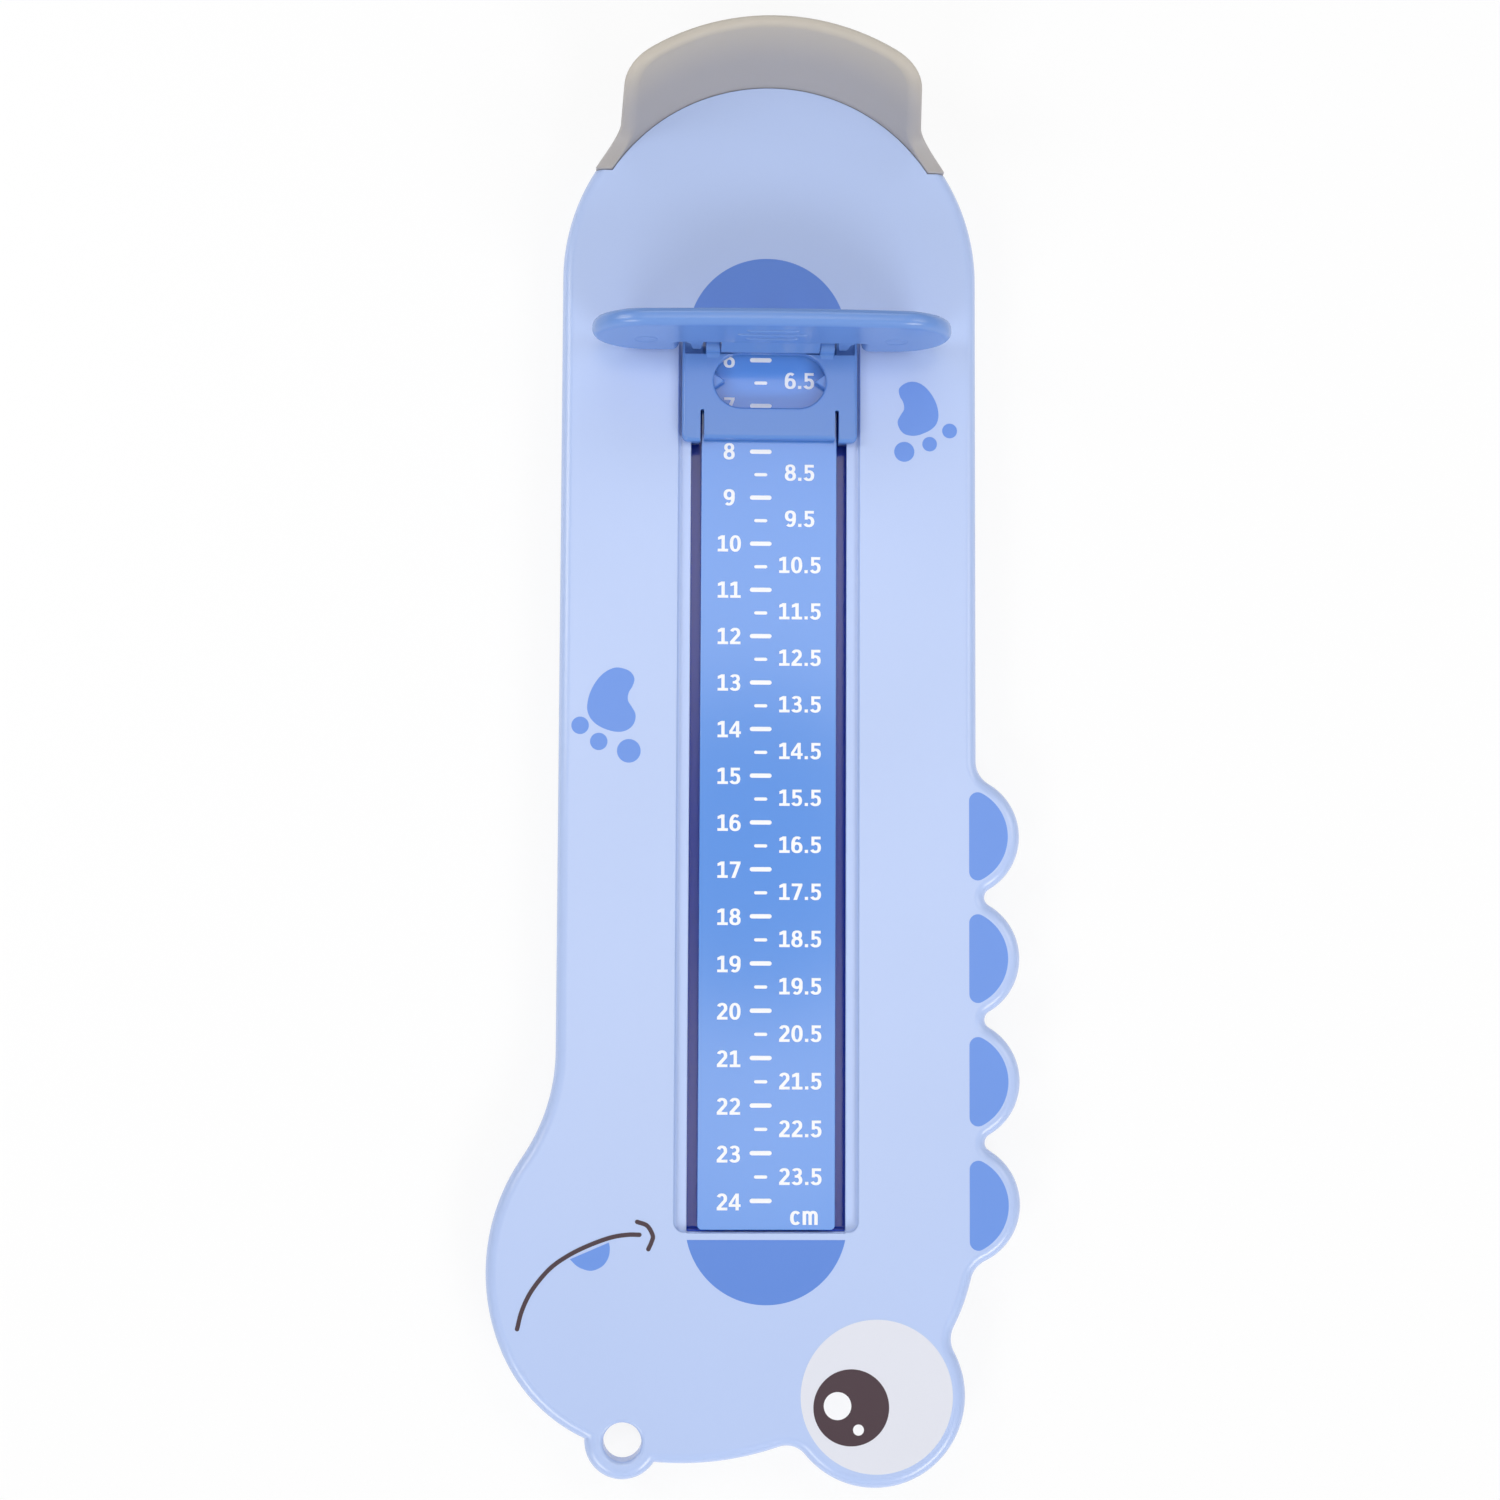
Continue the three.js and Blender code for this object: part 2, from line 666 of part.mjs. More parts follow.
// A pan-head screw pointing up, with the underside of its head at z = 0
function screw(name, length) {
  const profile = [
    [0, -screwHeadHeight], [screwHeadTop, -screwHeadHeight], [screwHead, screwHeadRim - screwHeadHeight],
    [screwHead, 0], [screwShank, 0], [screwShank, length - screwShank], [0, length],
  ];
  const half = screwSlotWidth / 2;
  const reach = screwSlotReach;
  const low = -screwHeadHeight - past;
  const high = screwSlotDepth - screwHeadHeight;
  const cross = box(-reach, reach, -half, half, low, high).add(box(-half, half, -reach, reach, low, high));
  return piece(name, turned(profile, 0, 0).subtract(cross), 'steel');
}

function coverScrews() {
  return coverScrewPlaces().map(([x, y], i) => {
    const mesh = screw(`cover_screw_${i + 1}`, coverBossBottom + screwBite - wellRoof);
    mesh.position.set(x, y, wellRoof - seatGap);
    return mesh;
  });
}

function heelScrews() {
  return heelScrewPlaces().map(([x, y], i) => {
    const mesh = screw(`heel_screw_${i + 1}`, heelBossBottom + heelScrewBite - flangeBottom);
    mesh.position.set(x, y, flangeBottom - seatGap);
    return mesh;
  });
}

function rubberFeet() {
  const profile = [
    [0, -footProud], [footRadius - footEdge, -footProud], [footRadius, footEdge - footProud],
    [footRadius, footThickness - footProud], [0, footThickness - footProud],
  ];
  return footPlaces().map(([x, y], i) => {
    const mesh = piece(`rubber_foot_${i + 1}`, turned(profile, 0, 0), 'rubber');
    mesh.position.set(x, y, 0);
    return mesh;
  });
}

function stadium(halfLength, radius) {
  const shape = new THREE.Shape();
  shape.moveTo(-halfLength + radius, -radius);
  shape.lineTo(halfLength - radius, -radius);
  shape.absarc(halfLength - radius, 0, radius, -Math.PI / 2, Math.PI / 2, false);
  shape.lineTo(-halfLength + radius, radius);
  shape.absarc(-halfLength + radius, 0, radius, Math.PI / 2, 1.5 * Math.PI, false);
  return shape;
}

function pointer(side) {
  const tip = windowHalfLength - pointerReach;
  const base = windowHalfLength + overlap;
  const shape = new THREE.Shape([
    new THREE.Vector2(side * tip, 0),
    new THREE.Vector2(side * base, -side * pointerHalfBase),
    new THREE.Vector2(side * base, side * pointerHalfBase),
  ]);
  return prism(shape, carriageBottom, carriageBottom + pointerThickness);
}

// One side's sliding parts: a rail on the ledge, legs down the slot, and hooks under the ledge
function carriageRunner(side) {
  const span = (inner, outer) => [Math.min(side * inner, side * outer), Math.max(side * inner, side * outer)];
  const legInner = slotHalfWidth - runningGap - legWall;
  const legOuter = slotHalfWidth - runningGap;
  const hookTop = cavityTop - runningGap;
  const hookBottom = hookTop - hookHeight;
  const railOuterX = ledgeHalfWidth - runningGap;
  const [railX0, railX1] = span(railOuterX - slideRailWidth, railOuterX);
  const [legX0, legX1] = span(legInner, legOuter);
  const [hookX0, hookX1] = span(legInner, legOuter + hookReach);
  const joinTop = carriageBottom + overlap;
  const railFront = slideRailSetback - carriageFront;
  const railBack = carriageEnd - slideRailSetback;
  const parts = [box(railX0, railX1, railFront, railBack, ledgeTop + seatGap, joinTop)];
  const legFront = legSetback - carriageFront;
  const legBack = carriageBack - legSetback;
  const legs = [[legFront, legFront + legLength], [legBack - rearLegLength, legBack]];
  for (const [y0, y1] of legs) {
    parts.push(box(legX0, legX1, y0, y1, hookBottom, joinTop));
    parts.push(box(hookX0, hookX1, y0, y1, hookBottom, hookTop));
  }
  return join(parts);
}

function sliderCarriage() {
  const shelfHalf = knuckleInner + knuckleWidth;
  const carriageOutline = roundedRectangle(carriageHalfWidth, -carriageFront, carriageEnd, carriageCorner);
  const plate = prism(carriageOutline, carriageBottom, carriageTopZ, 4);
  const pocketInner = shelfHalf + pocketSlit;
  const pocketOuter = carriageHalfWidth - pocketRim;
  const frontOfCuts = -carriageFront - past;
  const cuts = [
    box(-slitOffset, slitOffset, frontOfCuts, carriageLip - carriageFront, 0, big),
    box(-shelfHalf, shelfHalf, carriageBack, big, shelfTopZ, big),
    prism(stadium(windowHalfLength, windowRadius), 0, big, 16),
  ];
  for (const side of [-1, 1]) {
    const slitX = side > 0 ? slitOffset : -slitOffset - slitWidth;
    cuts.push(box(slitX, slitX + slitWidth, frontOfCuts, slitLength - carriageFront, 0, big));
    const openX = side > 0 ? shelfHalf : -pocketInner;
    cuts.push(box(openX, openX + pocketSlit, carriageBack, big, 0, big));
    const pocketX = side > 0 ? shelfHalf : -pocketOuter;
    cuts.push(box(pocketX, pocketX + pocketOuter - shelfHalf, carriageBack, big, pocketFloorZ, big));
  }
  let carriage = plate.subtract(join(cuts));

  const knuckleFront = hingeFromPointer - knuckleRadius;
  const knuckleBack = hingeFromPointer + knuckleRadius;
  for (const side of [-1, 1]) {
    const x0 = side > 0 ? knuckleInner : -knuckleInner - knuckleWidth;
    const x1 = x0 + knuckleWidth;
    const block = box(x0, x1, knuckleFront, knuckleBack, carriageBottom, hingeZ);
    const crown = rodAlongX(hingeFromPointer, hingeZ, knuckleRadius, x0, x1);
    carriage = carriage.add(block).add(crown).add(pointer(side)).add(carriageRunner(side));
  }
  const bore = rodAlongX(hingeFromPointer, hingeZ, pinRadius + seatGap, -big, big);
  return piece('slider_carriage', carriage.subtract(bore), 'midBlue');
}

function hingePin() {
  const half = knuckleInner + knuckleWidth - pinEndInset;
  return piece('hinge_pin', rodAlongX(hingeFromPointer, hingeZ, pinRadius, -half, half), 'steel');
}

// The toe plate's front view in X and Z, measured from the hinge's axis
function toePlateFrontView() {
  const low = plateClearance - hingeHeight;
  const high = plateHeight - hingeHeight;
  const shoulderZ = high - plateCrown;
  const notchTop = plateNotchHeight - hingeHeight;
  const inner = plateNotchHalfWidth;
  const outer = plateHalfWidth;
  const r = plateCorner;
  const foot = plateNotchCorner;
  const shape = new THREE.Shape();
  shape.moveTo(inner + foot, low);
  shape.lineTo(outer - r, low);
  shape.absarc(outer - r, low + r, r, -Math.PI / 2, 0, false);
  shape.lineTo(outer, shoulderZ - r);
  shape.absarc(outer - r, shoulderZ - r, r, 0, Math.PI / 2, false);
  shape.quadraticCurveTo(0, high + plateCrown, -outer + r, shoulderZ);
  shape.absarc(-outer + r, shoulderZ - r, r, Math.PI / 2, Math.PI, false);
  shape.lineTo(-outer, low + r);
  shape.absarc(-outer + r, low + r, r, Math.PI, 1.5 * Math.PI, false);
  shape.lineTo(-inner - foot, low);
  shape.absarc(-inner - foot, low + foot, foot, -Math.PI / 2, 0, false);
  shape.lineTo(-inner, notchTop);
  shape.lineTo(inner, notchTop);
  shape.lineTo(inner, low + foot);
  shape.absarc(inner + foot, low + foot, foot, Math.PI, 1.5 * Math.PI, false);
  return shape;
}

function toePlate() {
  const front = plateOffset;
  const back = front + plateThickness;
  const notchTop = plateNotchHeight - hingeHeight;
  const geometry = new THREE.ExtrudeGeometry(toePlateFrontView(), {
    depth: plateThickness - 2 * plateEdge,
    bevelThickness: plateEdge,
    bevelSize: plateEdge,
    bevelOffset: -plateEdge,
    bevelSegments: roundingSteps,
    curveSegments: 6,
  });
  geometry.rotateX(Math.PI / 2);
  geometry.translate(0, back - plateEdge, 0);
  const parts = [solid(geometry)];

  // The tongue runs from the plate down to the barrel round the pin
  const tongueHalf = knuckleInner - runningGap;
  const tongueTop = notchTop + plateEdge + overlap;
  parts.push(prismAlongX([
    [-barrelRadius, 0], [barrelRadius, 0], [barrelRadius, notchTop - plateEdge],
    [back - overlap, notchTop], [back - overlap, tongueTop], [front + overlap, tongueTop], [front, notchTop],
  ], -tongueHalf, tongueHalf));
  parts.push(rodAlongX(0, 0, barrelRadius, -tongueHalf, tongueHalf));

  // Folded flat, the tabs still clear the carriage in front of the hinge
  const tabBottom = carriageBack + runningGap - hingeFromPointer;
  for (const side of [-1, 1]) {
    const inner = stopTabInner;
    const outer = stopTabInner + stopTabWidth;
    const tab = new THREE.Shape([
      new THREE.Vector2(side * inner, notchTop + plateEdge),
      new THREE.Vector2(side * (inner + stopTabTaper), tabBottom),
      new THREE.Vector2(side * (outer - stopTabTaper), tabBottom),
      new THREE.Vector2(side * outer, notchTop + plateEdge),
    ]);
    const tabGeometry = new THREE.ExtrudeGeometry(tab, { depth: stopTabDepth, bevelEnabled: false });
    tabGeometry.rotateX(Math.PI / 2);
    tabGeometry.translate(0, front + stopTabInset + stopTabDepth, 0);
    parts.push(solid(tabGeometry));
  }
  for (let i = 0; i < ribCount; i += 1) {
    const z0 = lowestRib - hingeHeight + i * ribPitch - ribWidth / 2;
    parts.push(box(-ribLength / 2, ribLength / 2, front - ribProud, front + overlap, z0, z0 + ribWidth));
  }
  const bore = rodAlongX(0, 0, pinRadius + seatGap, -tongueHalf - past, tongueHalf + past);
  return piece('toe_plate', join(parts).subtract(bore), 'midBlue');
}

const toePlateGroup = new THREE.Group();
toePlateGroup.position.set(0, hingeFromPointer, hingeZ);
toePlateGroup.add(toePlate());

const slider = new THREE.Group();
slider.position.set(0, pointerY, 0);
slider.add(sliderCarriage(), hingePin(), toePlateGroup);

const footGauge = new THREE.Group();
footGauge.add(topShell(), bottomCover(), slideTrack(), scaleStrip(), heelWall());
footGauge.add(...coverScrews(), ...heelScrews(), ...rubberFeet());
footGauge.add(slider);

export default footGauge;
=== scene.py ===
# Foot measuring device for children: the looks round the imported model.
# Lengths are in millimetres and become metres where a mesh is made. X across the board, +Y to the heel.

import math

import bmesh
import bpy
from mathutils import Matrix, Vector
from mathutils.geometry import delaunay_2d_cdt

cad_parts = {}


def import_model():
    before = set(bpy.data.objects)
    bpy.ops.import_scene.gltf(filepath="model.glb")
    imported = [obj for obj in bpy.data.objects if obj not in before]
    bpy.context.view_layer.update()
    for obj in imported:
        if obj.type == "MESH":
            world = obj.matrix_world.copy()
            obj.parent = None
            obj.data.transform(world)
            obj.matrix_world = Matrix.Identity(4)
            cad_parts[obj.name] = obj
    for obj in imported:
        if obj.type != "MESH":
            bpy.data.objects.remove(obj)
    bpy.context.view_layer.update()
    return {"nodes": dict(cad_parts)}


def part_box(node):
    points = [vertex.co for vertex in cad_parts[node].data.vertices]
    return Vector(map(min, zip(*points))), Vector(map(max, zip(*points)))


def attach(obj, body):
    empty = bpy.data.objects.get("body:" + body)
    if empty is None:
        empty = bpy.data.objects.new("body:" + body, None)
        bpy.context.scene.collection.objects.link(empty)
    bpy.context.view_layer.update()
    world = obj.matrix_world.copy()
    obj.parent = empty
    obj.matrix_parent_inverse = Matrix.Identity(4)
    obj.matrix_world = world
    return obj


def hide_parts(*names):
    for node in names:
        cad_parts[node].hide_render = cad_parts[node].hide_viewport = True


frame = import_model()

MM = 0.001
TAU = 2 * math.pi
TOLERANCE = 0.006  # of curves drawn with straight lines
GAP = 0.3  # between pieces
PAST = 1  # how far a cutter reaches past what it cuts
LEAST_INSET = 1e-9
SHARPEST_MITRE = 0.4
SQUARE_TO_AXIS = 0.99999  # of a flat face's normal, its largest part at least
WELD = 1e-7  # metres, in built meshes
CAD_WELD = 2e-6  # metres, in the solids' meshes

# Board
LENGTH = 302.7
HALF_WIDTH = 44.8
HEIGHT = 10
SKIRT = 2.2
EDGE = 2.4
BOTTOM_EDGE = 0.4
CAVITY_TOP = 7.6
HEEL_END = LENGTH / 2
TAIL_END = -LENGTH / 2

# Lobes of the board's outline, most of them as (x, y, radius), and the fillets between them
HEEL = (0, HEEL_END - HALF_WIDTH, HALF_WIDTH)
NECK_Y = TAIL_END + 91.3
JAW = (-17.24, TAIL_END + 45.13, 41.85)
MUZZLE_RADIUS = 35.03
MUZZLE_START = math.radians(205.1)
RING = (-30, TAIL_END + 9.9)
RING_RADIUS = 8
RING_THICKNESS = 5
HOLE_RADIUS = 4.04
CHIN = (-17.4, TAIL_END + 68.5, 63.3)
CHIN_FILLET = 5.1
EYE_LOBE = (23.2, TAIL_END + 19.1, 19.1)
EYE_FILLET = 5.7
CHEEK = (0, TAIL_END + 53.8, HALF_WIDTH)
SPINE_X = 41
SPINE_RADIUS = 13.1
SPINES = [TAIL_END + 59.1 + 26.06 * i for i in range(4)]
SPINE_VALLEY = 1.95
SPINE_FILLET = 5.6

# Heel line and heel wall
HEEL_LINE = HEEL_END - 2.7
LINE_RADIUS = 40.8
LINE_CENTRE = HEEL_LINE - LINE_RADIUS
WALL_RADIUS = 44.56
WALL_CENTRE = HEEL_END - WALL_RADIUS
WALL_TOP = HEIGHT + 22.3
WALL_LEAN = 5.8
WALL_TOP_THICKNESS = 2.4
WALL_CUT = HEEL_LINE - 18.55
WALL_FOOT = 4.1
WALL_SEAT = 3.8
WALL_SEAM = 0.12

# Channel
OPEN_HALF = 19.75
OPEN_CORNER = 2.35
LEDGE = HEIGHT - 1.2
SLOT_HALF = 17
CHANNEL_HEEL = HEEL_END - 55.9
CHANNEL_TAIL = TAIL_END + 53.24
TRACK_FLOOR = 3.6
STRIP_TOP = 9.6

# Slider
POINTER_Y = HEEL_LINE - 65
HINGE_Y = POINTER_Y + 7.2
HINGE_Z = HEIGHT + 3.8
PLATE_FRONT = -0.75  # from the hinge


# Plane curves

def fillet_between(a, b, r):
    """The circle that touches two circles (x, y, r) from outside, to the right of the way from a to b."""
    span = math.dist(a[:2], b[:2])
    from_a, from_b = a[2] + r, b[2] + r
    along = (from_a ** 2 - from_b ** 2 + span ** 2) / (2 * span)
    aside = math.sqrt(from_a ** 2 - along ** 2)
    ux, uy = (b[0] - a[0]) / span, (b[1] - a[1]) / span
    return (a[0] + ux * along + uy * aside, a[1] + uy * along - ux * aside, r)


def cross(a, b):
    """Where two circles cross, on that side."""
    return fillet_between(a, b, 0)[:2]


def touch(a, b):
    """Where two circles touch."""
    share = a[2] / (a[2] + b[2])
    return (a[0] + (b[0] - a[0]) * share, a[1] + (b[1] - a[1]) * share)


def about(x, y, r, angles):
    """Points round a centre, at angles in radians."""
    return [(x + r * math.cos(a), y + r * math.sin(a)) for a in angles]


def arc(circle, start, end, clockwise=False, tolerance=TOLERANCE):
    """Points on a circle (x, y, r) from one point to another."""
    x, y, r = circle
    a = math.atan2(start[1] - y, start[0] - x)
    b = math.atan2(end[1] - y, end[0] - x)
    sweep = (a - b if clockwise else b - a) % TAU
    count = max(3, math.ceil(sweep / (2 * math.acos(1 - tolerance / r))))
    turn = -sweep if clockwise else sweep
    return about(x, y, r, [a + turn * i / count for i in range(count + 1)])


def board_outline():
    """The dinosaur's outline, counter-clockwise: round lobes joined by fillets."""
    cos, sin = math.cos(MUZZLE_START), math.sin(MUZZLE_START)
    shift = JAW[2] - MUZZLE_RADIUS
    muzzle = (JAW[0] + shift * cos, JAW[1] + shift * sin, MUZZLE_RADIUS)
    ring = (*RING, RING_RADIUS)
    spines = [(SPINE_X, y, SPINE_RADIUS) for y in SPINES]
    reach, drop = JAW[0] + HALF_WIDTH, NECK_Y - JAW[1]
    neck_r = (reach ** 2 + drop ** 2 - JAW[2] ** 2) / (2 * (JAW[2] - reach))
    neck = (-HALF_WIDTH - neck_r, NECK_Y, neck_r)
    rise = math.sqrt((SPINE_RADIUS + SPINE_FILLET) ** 2 - (SPINE_X - HALF_WIDTH - SPINE_FILLET) ** 2)
    shoulder = (HALF_WIDTH + SPINE_FILLET, spines[-1][1] + rise, SPINE_FILLET)

    # From the chin on, lobes and fillets take turns
    lobes = [CHIN, EYE_LOBE, CHEEK, *spines]
    radii = [CHIN_FILLET, EYE_FILLET, SPINE_FILLET] + [SPINE_VALLEY] * (len(spines) - 1)
    fillets = [fillet_between(a, b, r) for a, b, r in zip(lobes, lobes[1:], radii)] + [shoulder]
    chain = [lobe for pair in zip(lobes, fillets) for lobe in pair]
    ends = [touch(a, b) for a, b in zip(chain, chain[1:])] + [(HALF_WIDTH, shoulder[1])]

    points = arc(HEEL, (HALF_WIDTH, HEEL[1]), (-HALF_WIDTH, HEEL[1]))
    start = touch(neck, JAW)
    points += arc(neck, (-HALF_WIDTH, NECK_Y), start, True)
    jaw_end = (JAW[0] + JAW[2] * cos, JAW[1] + JAW[2] * sin)
    for lobe, end in ((JAW, jaw_end), (muzzle, cross(muzzle, ring)), (ring, cross(ring, CHIN))):
        points += arc(lobe, start, end)
        start = end
    for i, (lobe, end) in enumerate(zip(chain, ends)):
        points += arc(lobe, start, end, clockwise=i % 2 == 1)
        start = end
    return thin_out(points)


def thin_out(points, least=0.01):
    """The loop without points that repeat the one before."""
    return [p for i, p in enumerate(points) if math.dist(p, points[i - 1]) > least]


def inset(points, distance):
    """A counter-clockwise loop moved inwards, with mitred corners."""
    out = []
    for i, p in enumerate(points):
        before, after = points[i - 1], points[(i + 1) % len(points)]
        d0 = Vector((p[0] - before[0], p[1] - before[1])).normalized()
        d1 = Vector((after[0] - p[0], after[1] - p[1])).normalized()
        n = Vector((-d0.y - d1.y, d0.x + d1.x)).normalized()
        reach = distance / max(SHARPEST_MITRE, n.x * -d0.y + n.y * d0.x)
        out.append((p[0] + n.x * reach, p[1] + n.y * reach))
    return out


def bar(x0, y0, x1, y1):
    return [(x0, y0), (x1, y0), (x1, y1), (x0, y1)]


def bend(x, y, r, start, end, steps):
    """Points round a centre, from one angle in degrees to another."""
    return about(x, y, r, [math.radians(start + (end - start) * i / steps) for i in range(steps + 1)])


def rounded_box(x0, x1, y0, y1, r, steps=10):
    corners = [(x1 - r, y0 + r, -90), (x1 - r, y1 - r, 0), (x0 + r, y1 - r, 90), (x0 + r, y0 + r, 180)]
    return [p for x, y, a in corners for p in bend(x, y, r, a, a + 90, steps)]


def circle(x, y, r, count=96):
    return about(x, y, r, [TAU * i / count for i in range(count)])


def quarter_turn(steps):
    return [math.pi / 2 * i / steps for i in range(steps + 1)]


def quarter(r, steps):
    """A quarter round as pairs of (how far in, how far up), from its upright end to its level end."""
    return [(r * (1 - math.cos(a)), r * math.sin(a)) for a in quarter_turn(steps)]


def lower_quarter(r, steps):
    """The same at a body's lower edge, from its level end to its upright end."""
    return [(r * (1 - math.sin(a)), r * (1 - math.cos(a))) for a in quarter_turn(steps)]


# Meshes

def mesh_of(bm, name):
    """The mesh of a bmesh, which is freed."""
    mesh = bpy.data.meshes.new(name)
    bm.to_mesh(mesh)
    bm.free()
    return mesh


def welded(mesh, distance):
    """A bmesh of a mesh, without vertices that repeat others."""
    bm = bmesh.new()
    bm.from_mesh(mesh)
    bmesh.ops.remove_doubles(bm, verts=bm.verts, dist=distance)
    return bm


def finish_mesh(bm, name, smooth_angle=38, keep_flat=True):
    """Turns a bmesh into a mesh, smooth but for sharp edges and for faces that lie square to an axis."""
    bmesh.ops.recalc_face_normals(bm, faces=bm.faces)
    limit = math.radians(smooth_angle)
    for edge in bm.edges:
        edge.smooth = len(edge.link_faces) == 2 and edge.calc_face_angle(0) < limit
    for face in bm.faces:
        face.normal_update()
        face.smooth = not (keep_flat and max(abs(c) for c in face.normal) > SQUARE_TO_AXIS)
    return mesh_of(bm, name)


def new_object(name, data):
    thing = bpy.data.objects.new(name, data)
    bpy.context.scene.collection.objects.link(thing)
    return thing


def skin(bm, rings):
    """Faces between each ring of vertices and the next."""
    for lower, upper in zip(rings, rings[1:]):
        for i in range(len(lower)):
            bm.faces.new((lower[i - 1], lower[i], upper[i], upper[i - 1]))


def solid(bm):
    """A bmesh as an object that can be cut or can cut."""
    bmesh.ops.recalc_face_normals(bm, faces=bm.faces)
    return new_object("solid", mesh_of(bm, "solid"))


def loft(loops):
    """A solid through loops of 3-D points that all have as many points, with its two ends capped."""
    bm = bmesh.new()
    rings = [[bm.verts.new(Vector(p) * MM) for p in loop] for loop in loops]
    skin(bm, rings)
    bm.faces.new(list(reversed(rings[0])))
    bm.faces.new(rings[-1])
    return solid(bm)


def levels(points, profile):
    """Loops of the same outline at (inset, z) pairs."""
    return [[(x, y, z) for x, y in (inset(points, d) if abs(d) > LEAST_INSET else points)]
            for d, z in profile]


def prism(points, z0, z1):
    return loft([[(x, y, z0) for x, y in points], [(x, y, z1) for x, y in points]])


def block(x0, x1, y0, y1, z0, z1):
    return prism(bar(x0, y0, x1, y1), z0, z1)


def flared(points, floor_z, top, r, steps=6):
    """What cuts an outline down to a floor, or through, and rounds the edge round it."""
    rim = [(-d, top - r + h) for d, h in quarter(r, steps)]
    return loft(levels(points, [(0, floor_z)] + rim + [(-r, top + PAST)]))


def swap_mesh(thing, mesh):
    old = thing.data
    thing.data = mesh
    bpy.data.meshes.remove(old)


def apply_modifiers(thing):
    bpy.context.view_layer.update()
    result = bpy.data.meshes.new_from_object(thing.evaluated_get(bpy.context.evaluated_depsgraph_get()))
    thing.modifiers.clear()
    swap_mesh(thing, result)


def combine(base, tools, operation="DIFFERENCE"):
    """Cuts tools from base, or joins them to it, and removes the tools."""
    for tool in tools:
        modifier = base.modifiers.new("cut", "BOOLEAN")
        modifier.operation = operation
        modifier.solver = "MANIFOLD"
        modifier.object = tool
    apply_modifiers(base)
    for tool in tools:
        spare = tool.data
        bpy.data.objects.remove(tool)
        bpy.data.meshes.remove(spare)
    return base


def place(thing, body, material):
    """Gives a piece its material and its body."""
    thing.data.materials.append(material)
    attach(thing, body)


def dress(thing, node, body, material, smooth_angle=38, keep_flat=True):
    """Turns a built solid into the piece that stands for a node, with smooth shading."""
    name = f"{node}_skin"
    swap_mesh(thing, finish_mesh(welded(thing.data, WELD), name, smooth_angle, keep_flat))
    thing.name = name
    place(thing, body, material)
    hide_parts(node)


def regions(polygons):
    """Triangles that cover a set of 2-D polygons once, however they overlap."""
    least_step, epsilon, whole_hull = 0.004, 1e-6, 0
    coords, faces = [], []
    for polygon in polygons:
        turn = sum(a[0] * b[1] - b[0] * a[1] for a, b in zip(polygon, polygon[1:] + polygon[:1]))
        polygon = thin_out(polygon if turn > 0 else polygon[::-1], least_step)
        start = len(coords)
        coords += [Vector(p) for p in polygon]
        faces.append(list(range(start, start + len(polygon))))
    verts, _, triangles, _, _, owners = delaunay_2d_cdt(coords, [], faces, whole_hull, epsilon)
    return verts, [t for t, owner in zip(triangles, owners) if owner]


def printed(name, polygons, material, thickness, z=HEIGHT):
    """Ink: polygons as one thin closed layer on the level z, let into the board by its own thickness."""
    verts, triangles = regions(polygons)
    used = sorted({i for t in triangles for i in t})
    bm = bmesh.new()
    top, low = ({i: bm.verts.new((verts[i].x * MM, verts[i].y * MM, level * MM)) for i in used}
                for level in (z + thickness, z - thickness))
    for t in triangles:
        bm.faces.new([top[i] for i in t])
        bm.faces.new([low[i] for i in reversed(t)])
    edges = {(a, b): None for t in triangles for a, b in zip(t, t[1:] + t[:1])}
    for a, b in edges:
        if (b, a) not in edges:
            bm.faces.new((top[b], top[a], low[a], low[b]))
    place(new_object(name, finish_mesh(bm, name, 30)), "base", material)


# Materials

# The render's denoiser treats gloss above and below a roughness of 0.274 differently, which shows as stains.
# So no material's range, its roughness give or take this share, may hold that value.
GLOSS_SPREAD = 0.04


def srgb(code):
    """A colour written as six hex digits, as the linear values that shaders take."""
    out = []
    for i in (0, 2, 4):
        c = int(code[i:i + 2], 16) / 255
        out.append(c / 12.92 if c <= 0.04045 else ((c + 0.055) / 1.055) ** 2.4)
    return out


def new_material(name):
    material = bpy.data.materials.new(name)
    material.use_nodes = True
    return material, material.node_tree.nodes, material.node_tree.links


def put(node, **values):
    """Sets some of a shader node's inputs."""
    for name, value in values.items():
        node.inputs[name.replace("_", " ")].default_value = value
    return node


def add(nodes, kind, **values):
    return put(nodes.new(f"ShaderNode{kind}"), **values)


def noise(nodes, links, size, detail):
    """A cloudy value from 0 to 1 over an object, its clouds about as large as size."""
    node = add(nodes, "TexNoise", Scale=1 / (size * MM), Detail=detail)
    links.new(add(nodes, "TexCoord").outputs["Object"], node.inputs["Vector"])
    return node.outputs["Fac"]


def tones(nodes, links, value, colour, *stops):
    """A colour times a factor that a value from 0 to 1 moves. The stops are pairs of (value, factor)."""
    node = add(nodes, "ValToRGB")
    for element, (position, factor) in zip(node.color_ramp.elements, stops):
        element.color = [min(1, c * factor) for c in srgb(colour)] + [1]
        element.position = position
    links.new(value, node.inputs["Fac"])
    return node.outputs["Color"]


def spread(nodes, links, value, low, high):
    """A value from 0 to 1 spread from low to high."""
    node = add(nodes, "MapRange", To_Min=low, To_Max=high)
    links.new(value, node.inputs["Value"])
    return node.outputs["Result"]


